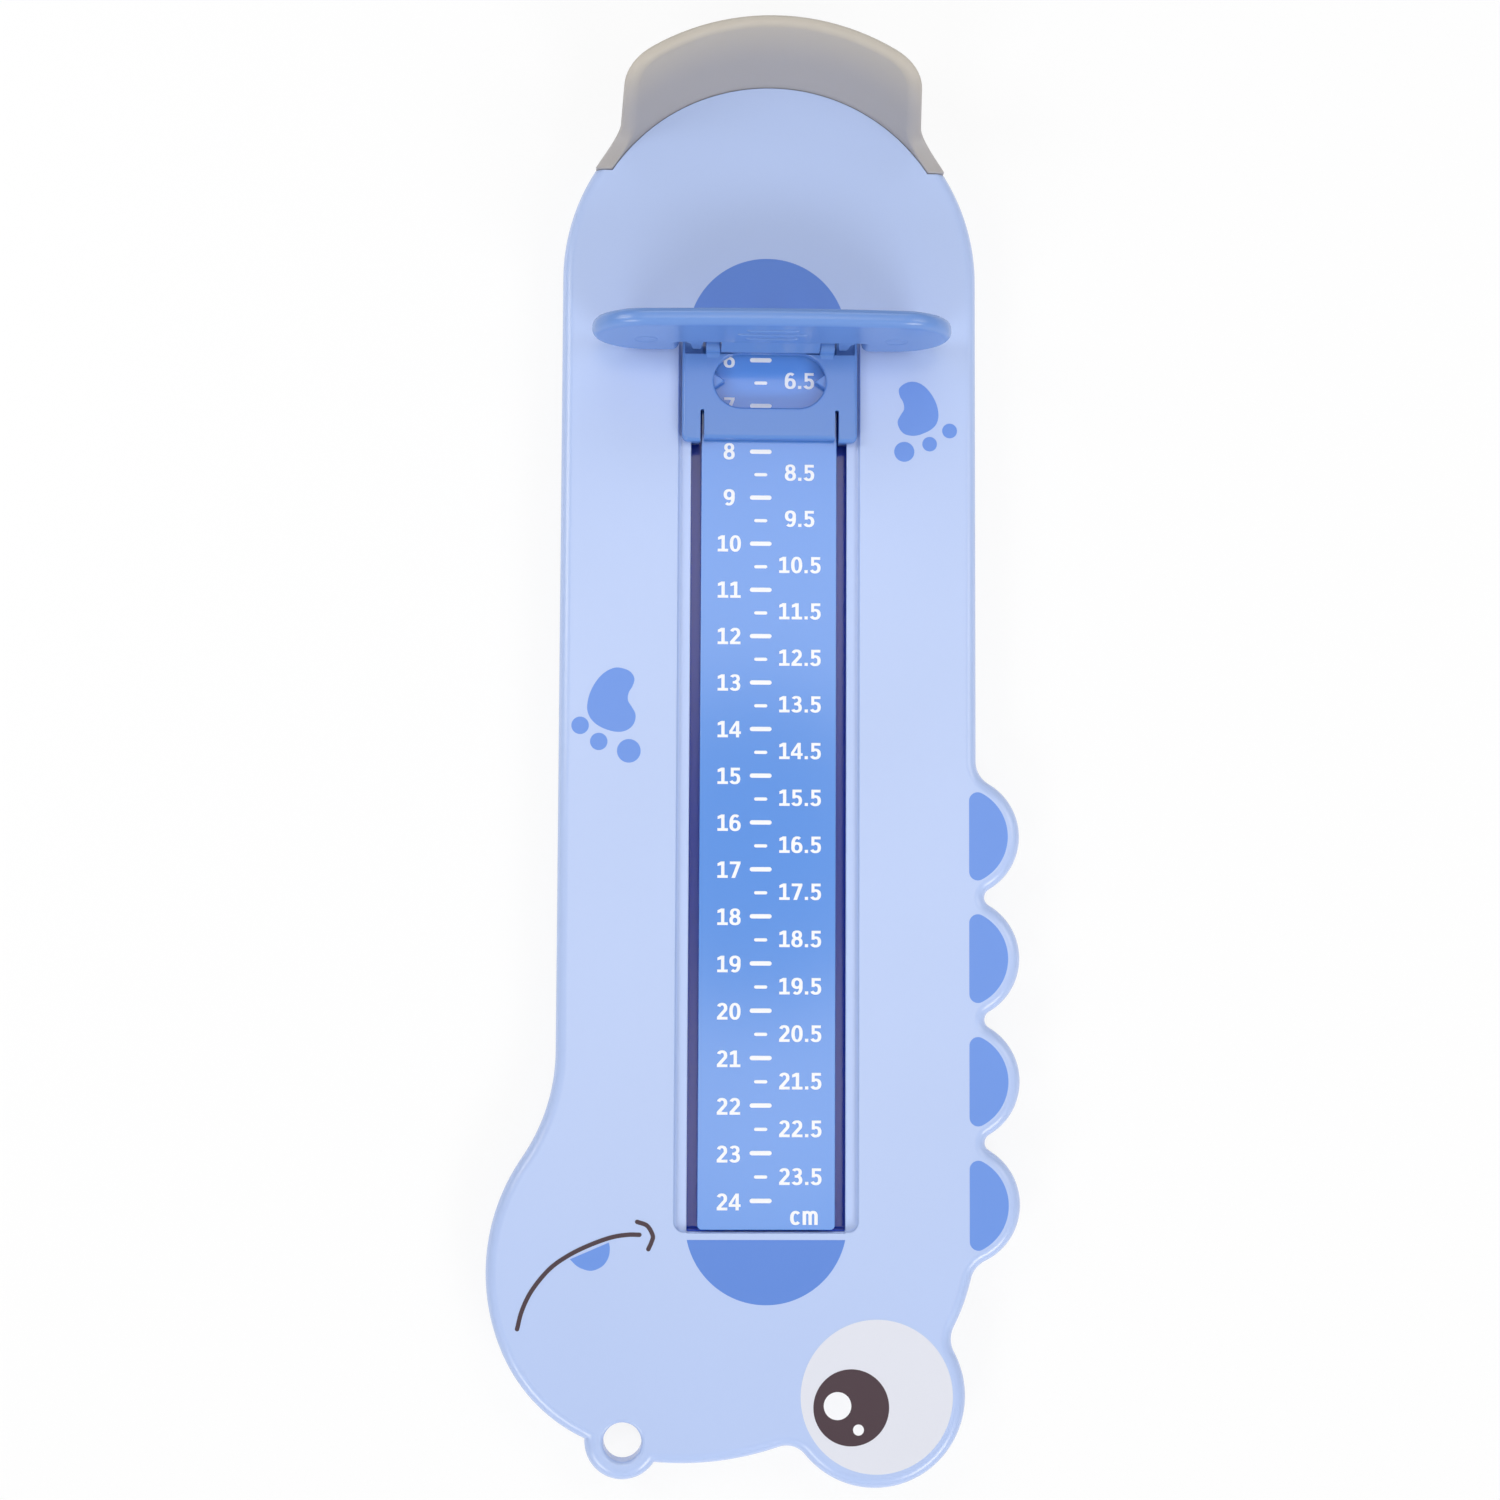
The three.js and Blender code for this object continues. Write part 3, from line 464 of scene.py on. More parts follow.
def plastic(name, colour, roughness, grain, grain_size, mottle=0.012, coat=0.0, scatter=0.0, ior=1.48,
            tint=(1, 1, 1)):
    """Moulded plastic: a faint cloudy tone, uneven gloss, and a fine grain in its surface."""
    clouds, patches, grain_depth, coat_roughness, scatter_depth = 45, 6, 0.02, 0.05, 1.2
    material, nodes, links = new_material(name)
    shader = nodes["Principled BSDF"]

    tone = tones(nodes, links, noise(nodes, links, clouds, 1), colour, (0.3, 1 - mottle), (0.7, 1 + mottle))
    links.new(tone, shader.inputs["Base Color"])
    gloss = spread(nodes, links, noise(nodes, links, patches, 4),
                   roughness * (1 - GLOSS_SPREAD), roughness * (1 + GLOSS_SPREAD))
    links.new(gloss, shader.inputs["Roughness"])
    bump = add(nodes, "Bump", Strength=grain, Distance=grain_depth * MM)
    links.new(noise(nodes, links, grain_size, 2), bump.inputs["Height"])
    links.new(bump.outputs["Normal"], shader.inputs["Normal"])

    put(shader, IOR=ior, Specular_Tint=(*tint, 1))
    if coat:
        put(shader, Coat_Weight=coat, Coat_Roughness=coat_roughness)
    if scatter:
        put(shader, Subsurface_Weight=scatter, Subsurface_Radius=(1, 1, 1),
            Subsurface_Scale=scatter_depth * MM)
    return material


def metal(name, colour, roughness):
    """Zinc-plated steel with fine turning marks."""
    material, nodes, links = new_material(name)
    shader = put(nodes["Principled BSDF"], Metallic=1)
    marks = noise(nodes, links, 0.25, 3)
    links.new(tones(nodes, links, marks, colour, (0, 0.85), (1, 1.1)), shader.inputs["Base Color"])
    gloss = spread(nodes, links, marks, roughness * 0.8, roughness * 1.3)
    links.new(gloss, shader.inputs["Roughness"])
    return material


# Name, colour, roughness, and the grain's strength and size
# Painted reflection colour: a warm tint on the plastics' gloss that stands in for the warm light of the
# lamps, which stay white.
WARM_REFLECTION_TINT = (1, 0.88, 0.6)
BOARD = plastic("board_plastic", "b4c8f2", 0.26, 0.2, 0.4, ior=1.6, tint=WARM_REFLECTION_TINT)
COVER = plastic("cover_plastic", "a9bdea", 0.55, 0.6, 0.5)
# The slider and the toe plate are one plastic in two copies with painted light: the plate's copy is painted
# lighter and the slider's a touch darker, for the stronger light on the plate's front.
SLIDER = plastic("slider_plastic", "618dd4", 0.25, 0.25, 0.4, ior=1.58, tint=WARM_REFLECTION_TINT)
PLATE_PAINTED_LIGHTER = plastic("plate_plastic_painted_lighter", "6c94d7", 0.25, 0.25, 0.4, ior=1.58, tint=WARM_REFLECTION_TINT)
STRIP = plastic("strip_plastic", "5d93e3", 0.12, 0.05, 3.0, coat=0.2, ior=1.5, tint=WARM_REFLECTION_TINT)
TRACK = plastic("track_plastic", "3861e4", 0.16, 0.1, 1.5, ior=1.5, tint=WARM_REFLECTION_TINT)
WALL = plastic("heel_plastic", "aeaaa9", 0.5, 0.3, 0.35, scatter=0.3)
RUBBER = plastic("rubber", "8f959e", 0.8, 0.8, 0.3)
STEEL = metal("steel", "b9bcc2", 0.3)
INK_BLUE = plastic("ink_blue", "6793e3", 0.3, 0.25, 0.3, tint=WARM_REFLECTION_TINT)
INK_DEEP = plastic("ink_deep_blue", "5a87da", 0.3, 0.25, 0.3, tint=WARM_REFLECTION_TINT)
INK_WHITE = plastic("ink_white", "f2f3f6", 0.36, 0.3, 0.3, mottle=0.01)
INK_EYE = plastic("ink_eye_white", "dee0ea", 0.34, 0.3, 0.3, mottle=0.01)
INK_DARK = plastic("ink_dark", "45313a", 0.36, 0.3, 0.3)


def paint_rim_glow(material, low, high, factors):
    """Paints light into a material between two heights: a painted glow, lighter and warmer upwards, that
    stands in for the light a translucent rim lets through where it thins out.
    """
    nodes, links = material.node_tree.nodes, material.node_tree.links
    base = nodes["Principled BSDF"].inputs["Base Color"]
    tone = base.links[0].from_socket
    split = add(nodes, "SeparateXYZ")
    links.new(add(nodes, "TexCoord").outputs["Object"], split.inputs[0])
    rise = add(nodes, "MapRange", From_Min=low * MM, From_Max=high * MM)
    rise.interpolation_type = "SMOOTHSTEP"
    links.new(split.outputs[2], rise.inputs["Value"])
    mix = add(nodes, "Mix")
    mix.data_type = "RGBA"
    mix.blend_type = "MULTIPLY"
    mix.inputs[7].default_value = (*factors, 1)
    links.new(rise.outputs["Result"], mix.inputs[0])
    links.new(tone, mix.inputs[6])
    links.new(mix.outputs[2], base)


# Painted glow: the heel wall's colour grows lighter and warmer towards its top rim.
paint_rim_glow(WALL, 18, 34, (1.25, 1.21, 1.07))


# Board

def top_shell():
    outline = board_outline()
    rounding = [(d, HEIGHT - EDGE + h) for d, h in quarter(EDGE, 14)]
    shell = loft(levels(outline, lower_quarter(BOTTOM_EDGE, 4) + rounding))

    opening = rounded_box(-OPEN_HALF, OPEN_HALF, CHANNEL_TAIL, CHANNEL_HEEL, OPEN_CORNER)
    fillet, lip = 0.75, 0.25
    profile = [(lip + d, LEDGE + h) for d, h in lower_quarter(fillet, 7)]
    profile += [(lip - d, HEIGHT - lip + h) for d, h in quarter(lip, 5)]
    recess = loft(levels(opening, profile + [(0, HEIGHT + PAST)]))

    edge, corner = 0.2, 0.5
    slot = rounded_box(-SLOT_HALF, SLOT_HALF, CHANNEL_TAIL, CHANNEL_HEEL, corner, 4)
    profile = [(edge, -PAST)] + [(edge - d, LEDGE - edge + h) for d, h in quarter(edge, 4)]
    slot = loft(levels(slot, profile + [(0, HEIGHT + PAST)]))

    hole_flare, wall_flare = 0.8, 0.12
    hole = flared(circle(*RING, HOLE_RADIUS), -PAST, HEIGHT, hole_flare, 8)
    bite = prism(circle(*RING, RING_RADIUS + GAP), -PAST, HEIGHT - RING_THICKNESS)

    reach = math.sqrt(LINE_RADIUS ** 2 - (WALL_CUT - LINE_CENTRE) ** 2)
    beyond, least_step = 20, 0.2
    side, far = HALF_WIDTH + beyond, HEEL_END + beyond
    rebate = [(reach, WALL_CUT), (side, WALL_CUT), (side, far), (-side, far), (-side, WALL_CUT)]
    rebate += arc((0, LINE_CENTRE, LINE_RADIUS), (-reach, WALL_CUT), (reach, WALL_CUT), True)[:-1]
    rebate = flared(rebate, WALL_SEAT, HEIGHT, wall_flare, 4)

    cavity = prism(thin_out(inset(outline, SKIRT), least_step), -PAST, CAVITY_TOP)
    cavity = combine(cavity, [prism(circle(*RING, RING_RADIUS + GAP + SKIRT), -2 * PAST, HEIGHT)])
    shell = combine(shell, [recess, slot, hole, bite, rebate, cavity])
    dress(shell, "top_shell", "base", BOARD)


# Slabs with soft edges, flat or bent

def grid_points(loop, du, dv):
    """The points of a grid over the box round a loop."""
    us, vs = [p.x for p in loop], [p.y for p in loop]
    points = []
    u = min(us) + du / 2
    while u < max(us):
        v = min(vs) + dv / 2
        while v < max(vs):
            points.append(Vector((u, v)))
            v += dv
        u += du
    return points


def slab(outline, thickness, radius, mapping, grid=None, share=None):
    """A plate of an outline (u, v), its edges rounded on both sides. mapping turns (u, v, depth from 0 to 1)
    into a point. grid = (du, dv) adds points inside the two faces, so that they bend. share(v) says how much
    of the radius the edge has at v."""
    bm = bmesh.new()
    side = [(d, h / thickness) for d, h in lower_quarter(radius, 8)]
    rings = []
    for d, t in side + [(d, 1 - t) for d, t in reversed(side)]:
        ring = []
        for (u, v), (in_u, in_v) in zip(outline, inset(outline, d)):
            k = share(v) if share else 1
            ring.append((u + (in_u - u) * k, v + (in_v - v) * k, t * k if t < 0.5 else 1 - (1 - t) * k))
        rings.append(ring)
    made = [[bm.verts.new(Vector(mapping(*p)) * MM) for p in ring] for ring in rings]
    skin(bm, made)

    inside, epsilon = 1, 1e-7
    for ring, flat, t in ((rings[0], made[0], 0), (rings[-1], made[-1], 1)):
        loop = [Vector((u, v)) for u, v, _ in ring]
        points = loop + (grid_points(loop, *grid) if grid else [])
        count = len(loop)
        verts, _, faces, origins, _, _ = delaunay_2d_cdt(points, [], [list(range(count))], inside, epsilon)
        known = []
        for point, source in zip(verts, origins):
            ours = [k for k in source if k < count]
            known.append(flat[ours[0]] if ours else bm.verts.new(Vector(mapping(point.x, point.y, t)) * MM))
        for face in faces:
            corners = [known[i] for i in face]
            if len(set(corners)) == 3:
                bm.faces.new(corners)
    loose = [v for v in bm.verts if not v.link_faces]
    bmesh.ops.delete(bm, geom=loose, context="VERTS")
    return solid(bm)


def heel_wall():
    band = HEIGHT + 0.4
    band_half, foot_half, top_half = 37.6, 33.0, 32.15
    fillet, corner, corner_lean, soft = 4.5, 6.4, 0.5, 0.3
    thickness, rim, end_share, grid = 2.9, 1.2, 0.2, (1.2, 1.6)

    def outer_radius(z):
        return WALL_RADIUS + WALL_LEAN * max(0, z - HEIGHT) / (WALL_TOP - HEIGHT)

    def inner_radius(z):
        foot = LINE_RADIUS + WALL_SEAM
        top = WALL_CENTRE + WALL_RADIUS + WALL_LEAN - WALL_TOP_THICKNESS - LINE_CENTRE
        return foot + (top - foot) * max(0, z - HEIGHT) / (WALL_TOP - HEIGHT)

    end_y = WALL_CUT + WALL_SEAM
    end_outer = math.acos((end_y - WALL_CENTRE) / WALL_RADIUS)
    end_inner = math.acos((end_y - LINE_CENTRE) / (LINE_RADIUS + WALL_SEAM))

    def along(x, z):
        """How far round the wall a point of its front view lies, as a length."""
        return math.asin(x / outer_radius(z)) * WALL_RADIUS

    def bezier(a, b, c, count=10):
        return [tuple((1 - t) ** 2 * p + 2 * t * (1 - t) * q + t * t * r for p, q, r in zip(a, b, c))
                for t in [i / count for i in range(count + 1)]]

    foot_z, corner_z = band + fillet, WALL_TOP - corner
    front = [(band_half, band)] + bezier((band_half, band), (foot_half, band), (foot_half, foot_z))
    front += [(foot_half + (top_half - foot_half) * i / 8, foot_z + (corner_z - foot_z) * i / 8)
              for i in range(1, 9)]
    front += bezier((top_half, corner_z), (top_half - corner_lean, WALL_TOP), (top_half - corner, WALL_TOP))

    end = end_outer * WALL_RADIUS
    side = [(end, WALL_FOOT)] + [(end - d, band - soft + h) for d, h in quarter(soft, 5)]
    side += [(along(x, z), z) for x, z in front]
    top = [(side[-1][0] * (1 - i / 12), WALL_TOP) for i in range(1, 12)]
    outline = side + top + [(0, WALL_TOP)]
    outline += [(-u, v) for u, v in reversed(side + top)]
    outline += [(-end + 2 * end * i / 40, WALL_FOOT) for i in range(1, 40)]
    outline = thin_out(outline, 0.02)

    def mapping(u, z, t):
        outer, inner = u / WALL_RADIUS, u / WALL_RADIUS * end_inner / end_outer
        ro, ri = outer_radius(z), inner_radius(z)
        out = (ro * math.sin(outer), WALL_CENTRE + ro * math.cos(outer))
        inn = (ri * math.sin(inner), LINE_CENTRE + ri * math.cos(inner))
        return (out[0] + (inn[0] - out[0]) * t, out[1] + (inn[1] - out[1]) * t, z)

    def share(z):
        """The wall's ends are almost sharp, and its rim is round."""
        k = min(1, max(0, (z - band) / fillet))
        return end_share + (1 - end_share) * k * k * (3 - 2 * k)

    wall = slab(outline, thickness, rim, mapping, grid, share)
    dress(wall, "heel_wall", "base", WALL, 60, keep_flat=False)


def toe_plate():
    half, corner, low, high, crown = 37.85, 11.8, 1.2, 26.2, 0.8
    notch, notch_top, notch_corner, foot = 19.6, 8.4, 0.5, 1.8
    thickness, edge = 3.7, 1.6

    shoulder, reach = high - crown, half - corner
    right = bend(reach, low + corner, corner, -90, 0, 24) + bend(reach, shoulder - corner, corner, 0, 90, 24)
    top = [(reach * (1 - 2 * t), shoulder + 4 * t * (1 - t) * crown) for t in [i / 40 for i in range(1, 40)]]
    outline = right + top + [(-x, y) for x, y in reversed(right)]
    outline += bend(-notch - foot, low + foot, foot, -90, 0, 8)
    outline += bend(-notch + notch_corner, notch_top - notch_corner, notch_corner, 180, 90, 4)
    outline += bend(notch - notch_corner, notch_top - notch_corner, notch_corner, 90, 0, 4)
    outline += bend(notch + foot, low + foot, foot, 180, 270, 8)
    outline = thin_out(outline, 0.02)
    y0 = HINGE_Y + PLATE_FRONT
    plate = slab(outline, thickness, edge, lambda u, v, t: (u, y0 + thickness * t, HEIGHT + v))

    # The root, the barrel, the tabs and the ribs are measured from the hinge
    front, back = PLATE_FRONT, PLATE_FRONT + thickness
    barrel, pin, tongue = 1.5, 1.0, 10.55
    top_z = HEIGHT + notch_top - HINGE_Z

    def along_x(points, x0, x1):
        return loft([[(x, HINGE_Y + y, HINGE_Z + z) for y, z in points] for x in (x0, x1)])

    root = [(-barrel, 0), (barrel, 0), (barrel, top_z - 1.3), (back - 0.5, top_z), (back - 0.5, top_z + 1.8),
            (front + 0.5, top_z + 1.8), (front, top_z)]
    parts = [along_x(root, -tongue, tongue), along_x(circle(0, 0, barrel, 48), -tongue, tongue)]
    tab = [(14.4, top_z + 1.3), (14.45, top_z), (14.85, -0.9), (15.1, -1.15), (16.35, -1.15), (16.6, -0.9),
           (17.05, 3.4), (17.3, 4.1), (17.8, top_z + 0.1), (17.8, top_z + 1.3)]
    for side in (-1, 1):
        parts.append(loft([[(side * x, HINGE_Y + y, HINGE_Z + z) for x, z in tab]
                           for y in (front + 0.15, front + 2.95)]))
    lowest, pitch, bead, proud = HEIGHT + 13.5 - HINGE_Z, 3.6, 0.4, 0.02
    middle = front + proud
    for i, reach in enumerate((5.6, 7.4, 5.6)):
        z = lowest + pitch * i
        ends = [(-reach, 0.2), (-reach + 0.5, 0.8), (-reach + 1, 1)]
        ends += [(-x, k) for x, k in reversed(ends)]
        parts.append(loft([[(x, HINGE_Y + middle + (y - middle) * k, HINGE_Z + z + (v - z) * k)
                            for y, v in circle(middle, z, bead, 16)] for x, k in ends]))
    plate = combine(plate, parts, "UNION")
    bore = along_x(circle(0, 0, pin + GAP, 40), -tongue - PAST, tongue + PAST)
    dress(combine(plate, [bore]), "toe_plate", "toe_plate", PLATE_PAINTED_LIGHTER)


def carriage():
    """The slider's body: a soft-edged plate with the window, the pointers, the slits, the pockets beside the
    knuckles, and below it the rails and the hooked legs."""
    y0, low, high, through = POINTER_Y, HEIGHT + GAP, HEIGHT + 2.5, HEIGHT - 9
    half, front, back = 18.85, y0 - 13.3, y0 + 10
    corner, edge, lower_edge = 1.5, 0.8, 0.15
    window_x, window_r, window_edge = 6.1, 5.95, 0.4
    slit_x, lip, beyond = 14.1, 0.65, 5
    shelf, shelf_y, shelf_z, pocket_z, slit = 13.8, y0 + 5.65, HEIGHT + 1.9, HEIGHT + 0.9, 0.6

    profile = [(lower_edge, low), (0, low + lower_edge)] + [(d, high - edge + h) for d, h in quarter(edge, 6)]
    body = loft(levels(rounded_box(-half, half, front, back, corner), profile))
    window = arc((window_x, y0, window_r), (window_x, y0 - window_r), (window_x, y0 + window_r))
    window += [(-x, 2 * y0 - y) for x, y in window]
    front_lip = bar(-slit_x, front - beyond, slit_x, front + lip)
    cuts = [flared(window, through, high, window_edge), flared(front_lip, through, high, edge),
            block(-shelf, shelf, shelf_y, back + PAST, shelf_z, high + PAST)]
    ways = [(rounded_box(slit_x, 14.85, front - beyond, front + 6.9, 0.3, 4), through, 0.15),
            (rounded_box(shelf, shelf + slit, shelf_y, back + beyond, 0.1, 2), through, 0.05),
            (rounded_box(shelf + slit - 0.2, half - 0.6, shelf_y, back + beyond, 0.25, 3), pocket_z, 0.15)]
    for side in (-1, 1):
        for points, floor_z, r in ways:
            cuts.append(flared([(side * x, y) for x, y in points][::side], floor_z, high, r))
    body = combine(body, cuts)

    def along_x(points, x0, x1, r):
        ends = ((x0, r), (x0 + r, 0), (x1 - r, 0), (x1, r))
        return loft([[(x, y, z) for y, z in (inset(points, d) if d else points)] for x, d in ends])

    def strip(side, near, far, y1, y2, z1, z2):
        """A bar along the slider, from near to far on one side of it."""
        x0, x1 = sorted((side * near, side * far))
        return block(x0, x1, y0 + y1, y0 + y2, z1, z2)

    knuckle_r, knuckle_x, bore_r, bore_x = 1.6, (10.7, 13.8), 1.3, (10, 14.3)
    rail, rail_span = (17.3, 18.8), (-11.9, 8.6)
    leg, hook, leg_spans = (15, 16.6), (15, 18.2), ((-12.9, -6.2), (0.25, 5.25))
    leg_foot, hook_top, root = 5.6, 7.2, low + 0.4
    knuckle = bend(HINGE_Y, HINGE_Z, knuckle_r, 0, 180, 20)
    knuckle += [(HINGE_Y - 1.6, high + 0.9), (HINGE_Y - 1.75, high + 0.4), (HINGE_Y - 2.1, high + 0.1),
                (HINGE_Y - 2.7, high - 0.05), (HINGE_Y - 2.7, low), (HINGE_Y + knuckle_r, low)]
    tip, base, wide = 12.5 - 2.8, 13.6, 2.75
    rising = [(0, low), (0, low + 1.25), (0.1, low + 1.45), (0.25, low + 1.5)]
    bore = [(HINGE_Y + y, HINGE_Z + z) for y, z in circle(0, 0, bore_r, 48)]
    parts = []
    for side in (-1, 1):
        parts.append(along_x(knuckle, *sorted(side * x for x in knuckle_x), 0.2))
        pointer = [(side * tip, y0), (side * base, y0 - side * wide), (side * base, y0 + side * wide)]
        parts.append(loft(levels(pointer, rising)))
        parts.append(strip(side, *rail, *rail_span, LEDGE + GAP, root))
        for span in leg_spans:
            parts.append(strip(side, *leg, *span, leg_foot, root))
            parts.append(strip(side, *hook, *span, leg_foot, hook_top))
    body = combine(body, parts, "UNION")
    body = combine(body, [along_x(bore, *sorted(side * x for x in bore_x), 0) for side in (-1, 1)])
    dress(body, "slider_carriage", "slider", SLIDER)


# Pieces that keep their solid's shape, with softened edges

def softened(node, body, material, width):
    bm = welded(frame["nodes"][node].data, CAD_WELD)
    bmesh.ops.dissolve_limit(bm, angle_limit=math.radians(0.5), verts=bm.verts, edges=bm.edges)
    thing = new_object(node, mesh_of(bm, node))
    bevel = thing.modifiers.new("edges", "BEVEL")
    bevel.width = width * MM
    bevel.segments = 3
    bevel.limit_method = "ANGLE"
    bevel.angle_limit = math.radians(40)
    bevel.use_clamp_overlap = True
    apply_modifiers(thing)
    dress(thing, node, body, material)


top_shell()
heel_wall()
toe_plate()
carriage()
softened("scale_strip", "base", STRIP, 0.3)
softened("slide_track", "base", TRACK, 0.25)
softened("bottom_cover", "base", COVER, 0.25)
softened("hinge_pin", "slider", STEEL, 0.12)


# Screws and feet, turned about their own axes

def spun(profile, count):
    """A turned solid about Z from (radius, z) pairs that start and end on the axis."""
    bm = bmesh.new()
    ends = [bm.verts.new((0, 0, profile[i][1] * MM)) for i in (0, -1)]
    rings = [[bm.verts.new((x * MM, y * MM, z * MM)) for x, y in circle(0, 0, r, count)]
             for r, z in profile[1:-1]]
    for i in range(count):
        bm.faces.new((ends[0], rings[0][i], rings[0][i - 1]))
        bm.faces.new((ends[1], rings[-1][i - 1], rings[-1][i]))
    skin(bm, rings)
    return solid(bm)


def height_of(node):
    lo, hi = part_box(node)
    return (hi.z - lo.z) / MM


def set_down(thing, node, material):
    """Stands a turned piece where its node stands."""
    lo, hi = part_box(node)
    dress(thing, node, "base", material)
    thing.data.transform(Matrix.Translation(((lo.x + hi.x) / 2, (lo.y + hi.y) / 2, lo.z)))


def screws(prefix, count):
    """Screws with a domed head, head down, and a cross recess in it."""
    head, height, shank, tip, flat = 2.6, 1.5, 1.0, 0.35, 1.3
    dome, arm, arm_half, arm_depth = 0.75, 1.5, 0.33, 0.8
    for n in range(1, count + 1):
        node = f"{prefix}_{n}"
        length = height_of(node)
        profile = [(0, 0), (flat, 0)]
        profile += [(flat + (head - flat) * math.sin(a), dome * (1 - math.cos(a)))
                    for a in quarter_turn(6)[1:]]
        profile += [(head, height), (shank, height), (shank, length - 1), (tip, length - 0.15), (0, length)]
        screw = spun(profile, 40)
        arms = [block(-arm, arm, -arm_half, arm_half, -PAST, arm_depth),
                block(-arm_half, arm_half, -arm, arm, -PAST, arm_depth)]
        screw = combine(screw, [combine(arms[0], [arms[1]], "UNION")])
        set_down(screw, node, STEEL)


def feet(count):
    """Rubber feet with a shallow dish in their lower face."""
    radius, edge, dish = 5, 0.45, 0.12
    for n in range(1, count + 1):
        node = f"rubber_foot_{n}"
        height = height_of(node)
        profile = [(0, dish), (2.9, dish), (3.2, 0)]
        profile += [(radius - d, h) for d, h in lower_quarter(edge, 6)]
        profile += [(radius, height), (0, height)]
        set_down(spun(profile, 64), node, RUBBER)


screws("cover_screw", 8)
screws("heel_screw", 3)
feet(6)


# Prints on the board

INK = 0.02
INK_TOLERANCE = 0.004
SEGMENT_RADIUS = 17.1
EYE_WHITE = (23.44, -132.11, 16.05)
PUPIL = (18.06, -134.33, 7.98)
LARGE_LIGHT = (15.16, -133.96, 2.9)
SMALL_LIGHT = (19.57, -138.92, 1.15)
BEAN_LEFT = [
    (-29.99, 14.6), (-29.84, 16.22), (-29.02, 17.68), (-28.65, 19.29), (-29.47, 20.68), (-30.97, 21.41),
    (-32.61, 21.6), (-34.19, 21.07), (-35.55, 20.1), (-36.65, 18.85), (-37.53, 17.43), (-38.19, 15.9),
    (-38.59, 14.27), (-38.68, 12.61), (-38.17, 11.03), (-37.12, 9.74), (-35.73, 8.81), (-34.18, 8.19),
    (-32.55, 7.84), (-30.89, 7.94), (-29.42, 8.7), (-28.5, 10.07), (-28.39, 11.72), (-29.16, 13.18)]
BEAN_RIGHT = [
    (36.52, 78.0), (36.11, 79.51), (35.44, 80.92), (34.55, 82.2), (33.45, 83.3), (32.09, 84.06),
    (30.55, 84.21), (29.09, 83.68), (28.04, 82.58), (28.21, 81.06), (28.95, 79.68), (29.13, 78.19),
    (28.37, 76.84), (27.75, 75.43), (28.14, 73.94), (29.18, 72.8), (30.67, 72.4), (32.22, 72.53),
    (33.68, 73.08), (35.05, 73.83), (36.11, 74.97), (36.57, 76.45)]
TOES = [
    (-40.16, 9.15, 1.87), (-36.15, 5.73, 1.86), (-29.73, 3.76, 2.53), (29.19, 68.88, 2.18),
    (34.68, 70.60, 1.59), (39.01, 73.53, 1.61)]
MOUTH = [
    (-52.2, -118.0), (-51.2, -114.1), (-49.2, -110.0), (-45.7, -105.7), (-41.9, -102.9), (-37.5, -100.7),
    (-32.8, -99.0), (-29.2, -98.4), (-26.7, -98.4)]
MOUTH_CORNER = [
    (-27.2, -95.7), (-25.1, -96.5), (-23.9, -98.5), (-24.1, -99.8), (-24.8, -101.4)]
TONGUE = [
    (-41.3, -103.5), (-39.5, -105.1), (-36.9, -105.9), (-34.5, -105.0), (-33.2, -103.2), (-32.9, -101.3),
    (-33.1, -100.0)]
MOUTH_WIDTH = 0.92


def segment_print(y_flat, side, x, sagitta):
    """A round segment with its flat side across the board."""
    r = SEGMENT_RADIUS
    half = math.sqrt(r ** 2 - (r - sagitta) ** 2)
    centre = y_flat + side * (sagitta - r)
    return arc((x, centre, r), (x - half, y_flat), (x + half, y_flat), side > 0, INK_TOLERANCE)


def spine_print(y):
    """A D with rounded corners beside each bump of the spine."""
    flat, reach, r = 43.1, 10.4, 1.85
    x = flat + r - SPINE_X
    rise = math.sqrt((reach - r) ** 2 - x ** 2)
    angle = math.atan2(rise, x)
    out = about(SPINE_X, y, reach, [-angle + 2 * angle * i / 48 for i in range(49)])
    top, low = (SPINE_X + x, y + rise, r), (SPINE_X + x, y - rise, r)
    out += arc(top, out[-1], (flat, y + rise), tolerance=INK_TOLERANCE)[1:]
    out += arc(low, (flat, y - rise), out[0], tolerance=INK_TOLERANCE)[:-1]
    return out


def spline(points, steps=10):
    """The smooth curve from the second of four points up to the third."""
    a, b, c, d = map(Vector, points)
    out = []
    for t in [i / steps for i in range(steps)]:
        bent, turning = 2 * a - 5 * b + 4 * c - d, 3 * b - 3 * c + d - a
        q = 0.5 * (2 * b + (c - a) * t + bent * t ** 2 + turning * t ** 3)
        out.append((q.x, q.y))
    return out


def smooth_loop(points):
    """A closed smooth curve through points."""
    n = len(points)
    return [q for i in range(n) for q in spline([points[(i + k) % n] for k in (-1, 0, 1, 2)])]


def smooth_line(points):
    """An open smooth curve through points."""
    before = tuple(2 * Vector(points[0]) - Vector(points[1]))
    after = tuple(2 * Vector(points[-1]) - Vector(points[-2]))
    ends = [before, *points, after]
    return [q for four in zip(ends, ends[1:], ends[2:], ends[3:]) for q in spline(four)] + [tuple(points[-1])]


def stroke(points, width):
    """The band of a width along an open line, with round ends, as one polygon."""
    left, right = [], []
    last = len(points) - 1
    for i, p in enumerate(points):
        a, b = Vector(points[max(0, i - 1)]), Vector(points[min(last, i + 1)])
        d = (b - a).normalized()
        n = Vector((-d.y, d.x)) * width / 2
        if 0 < i < last:
            d0 = (Vector(p) - a).normalized()
            n /= max(0.5, d.dot(d0))
        left.append((p[0] + n.x, p[1] + n.y))
        right.append((p[0] - n.x, p[1] - n.y))
    caps = []
    for centre, near in ((points[-1], right[-1]), (points[0], left[0])):
        base = math.atan2(near[1] - centre[1], near[0] - centre[0])
        caps.append(about(*centre, width / 2, [base + math.pi * k / 12 for k in range(1, 12)]))
    return right + caps[0] + left[::-1] + caps[1]


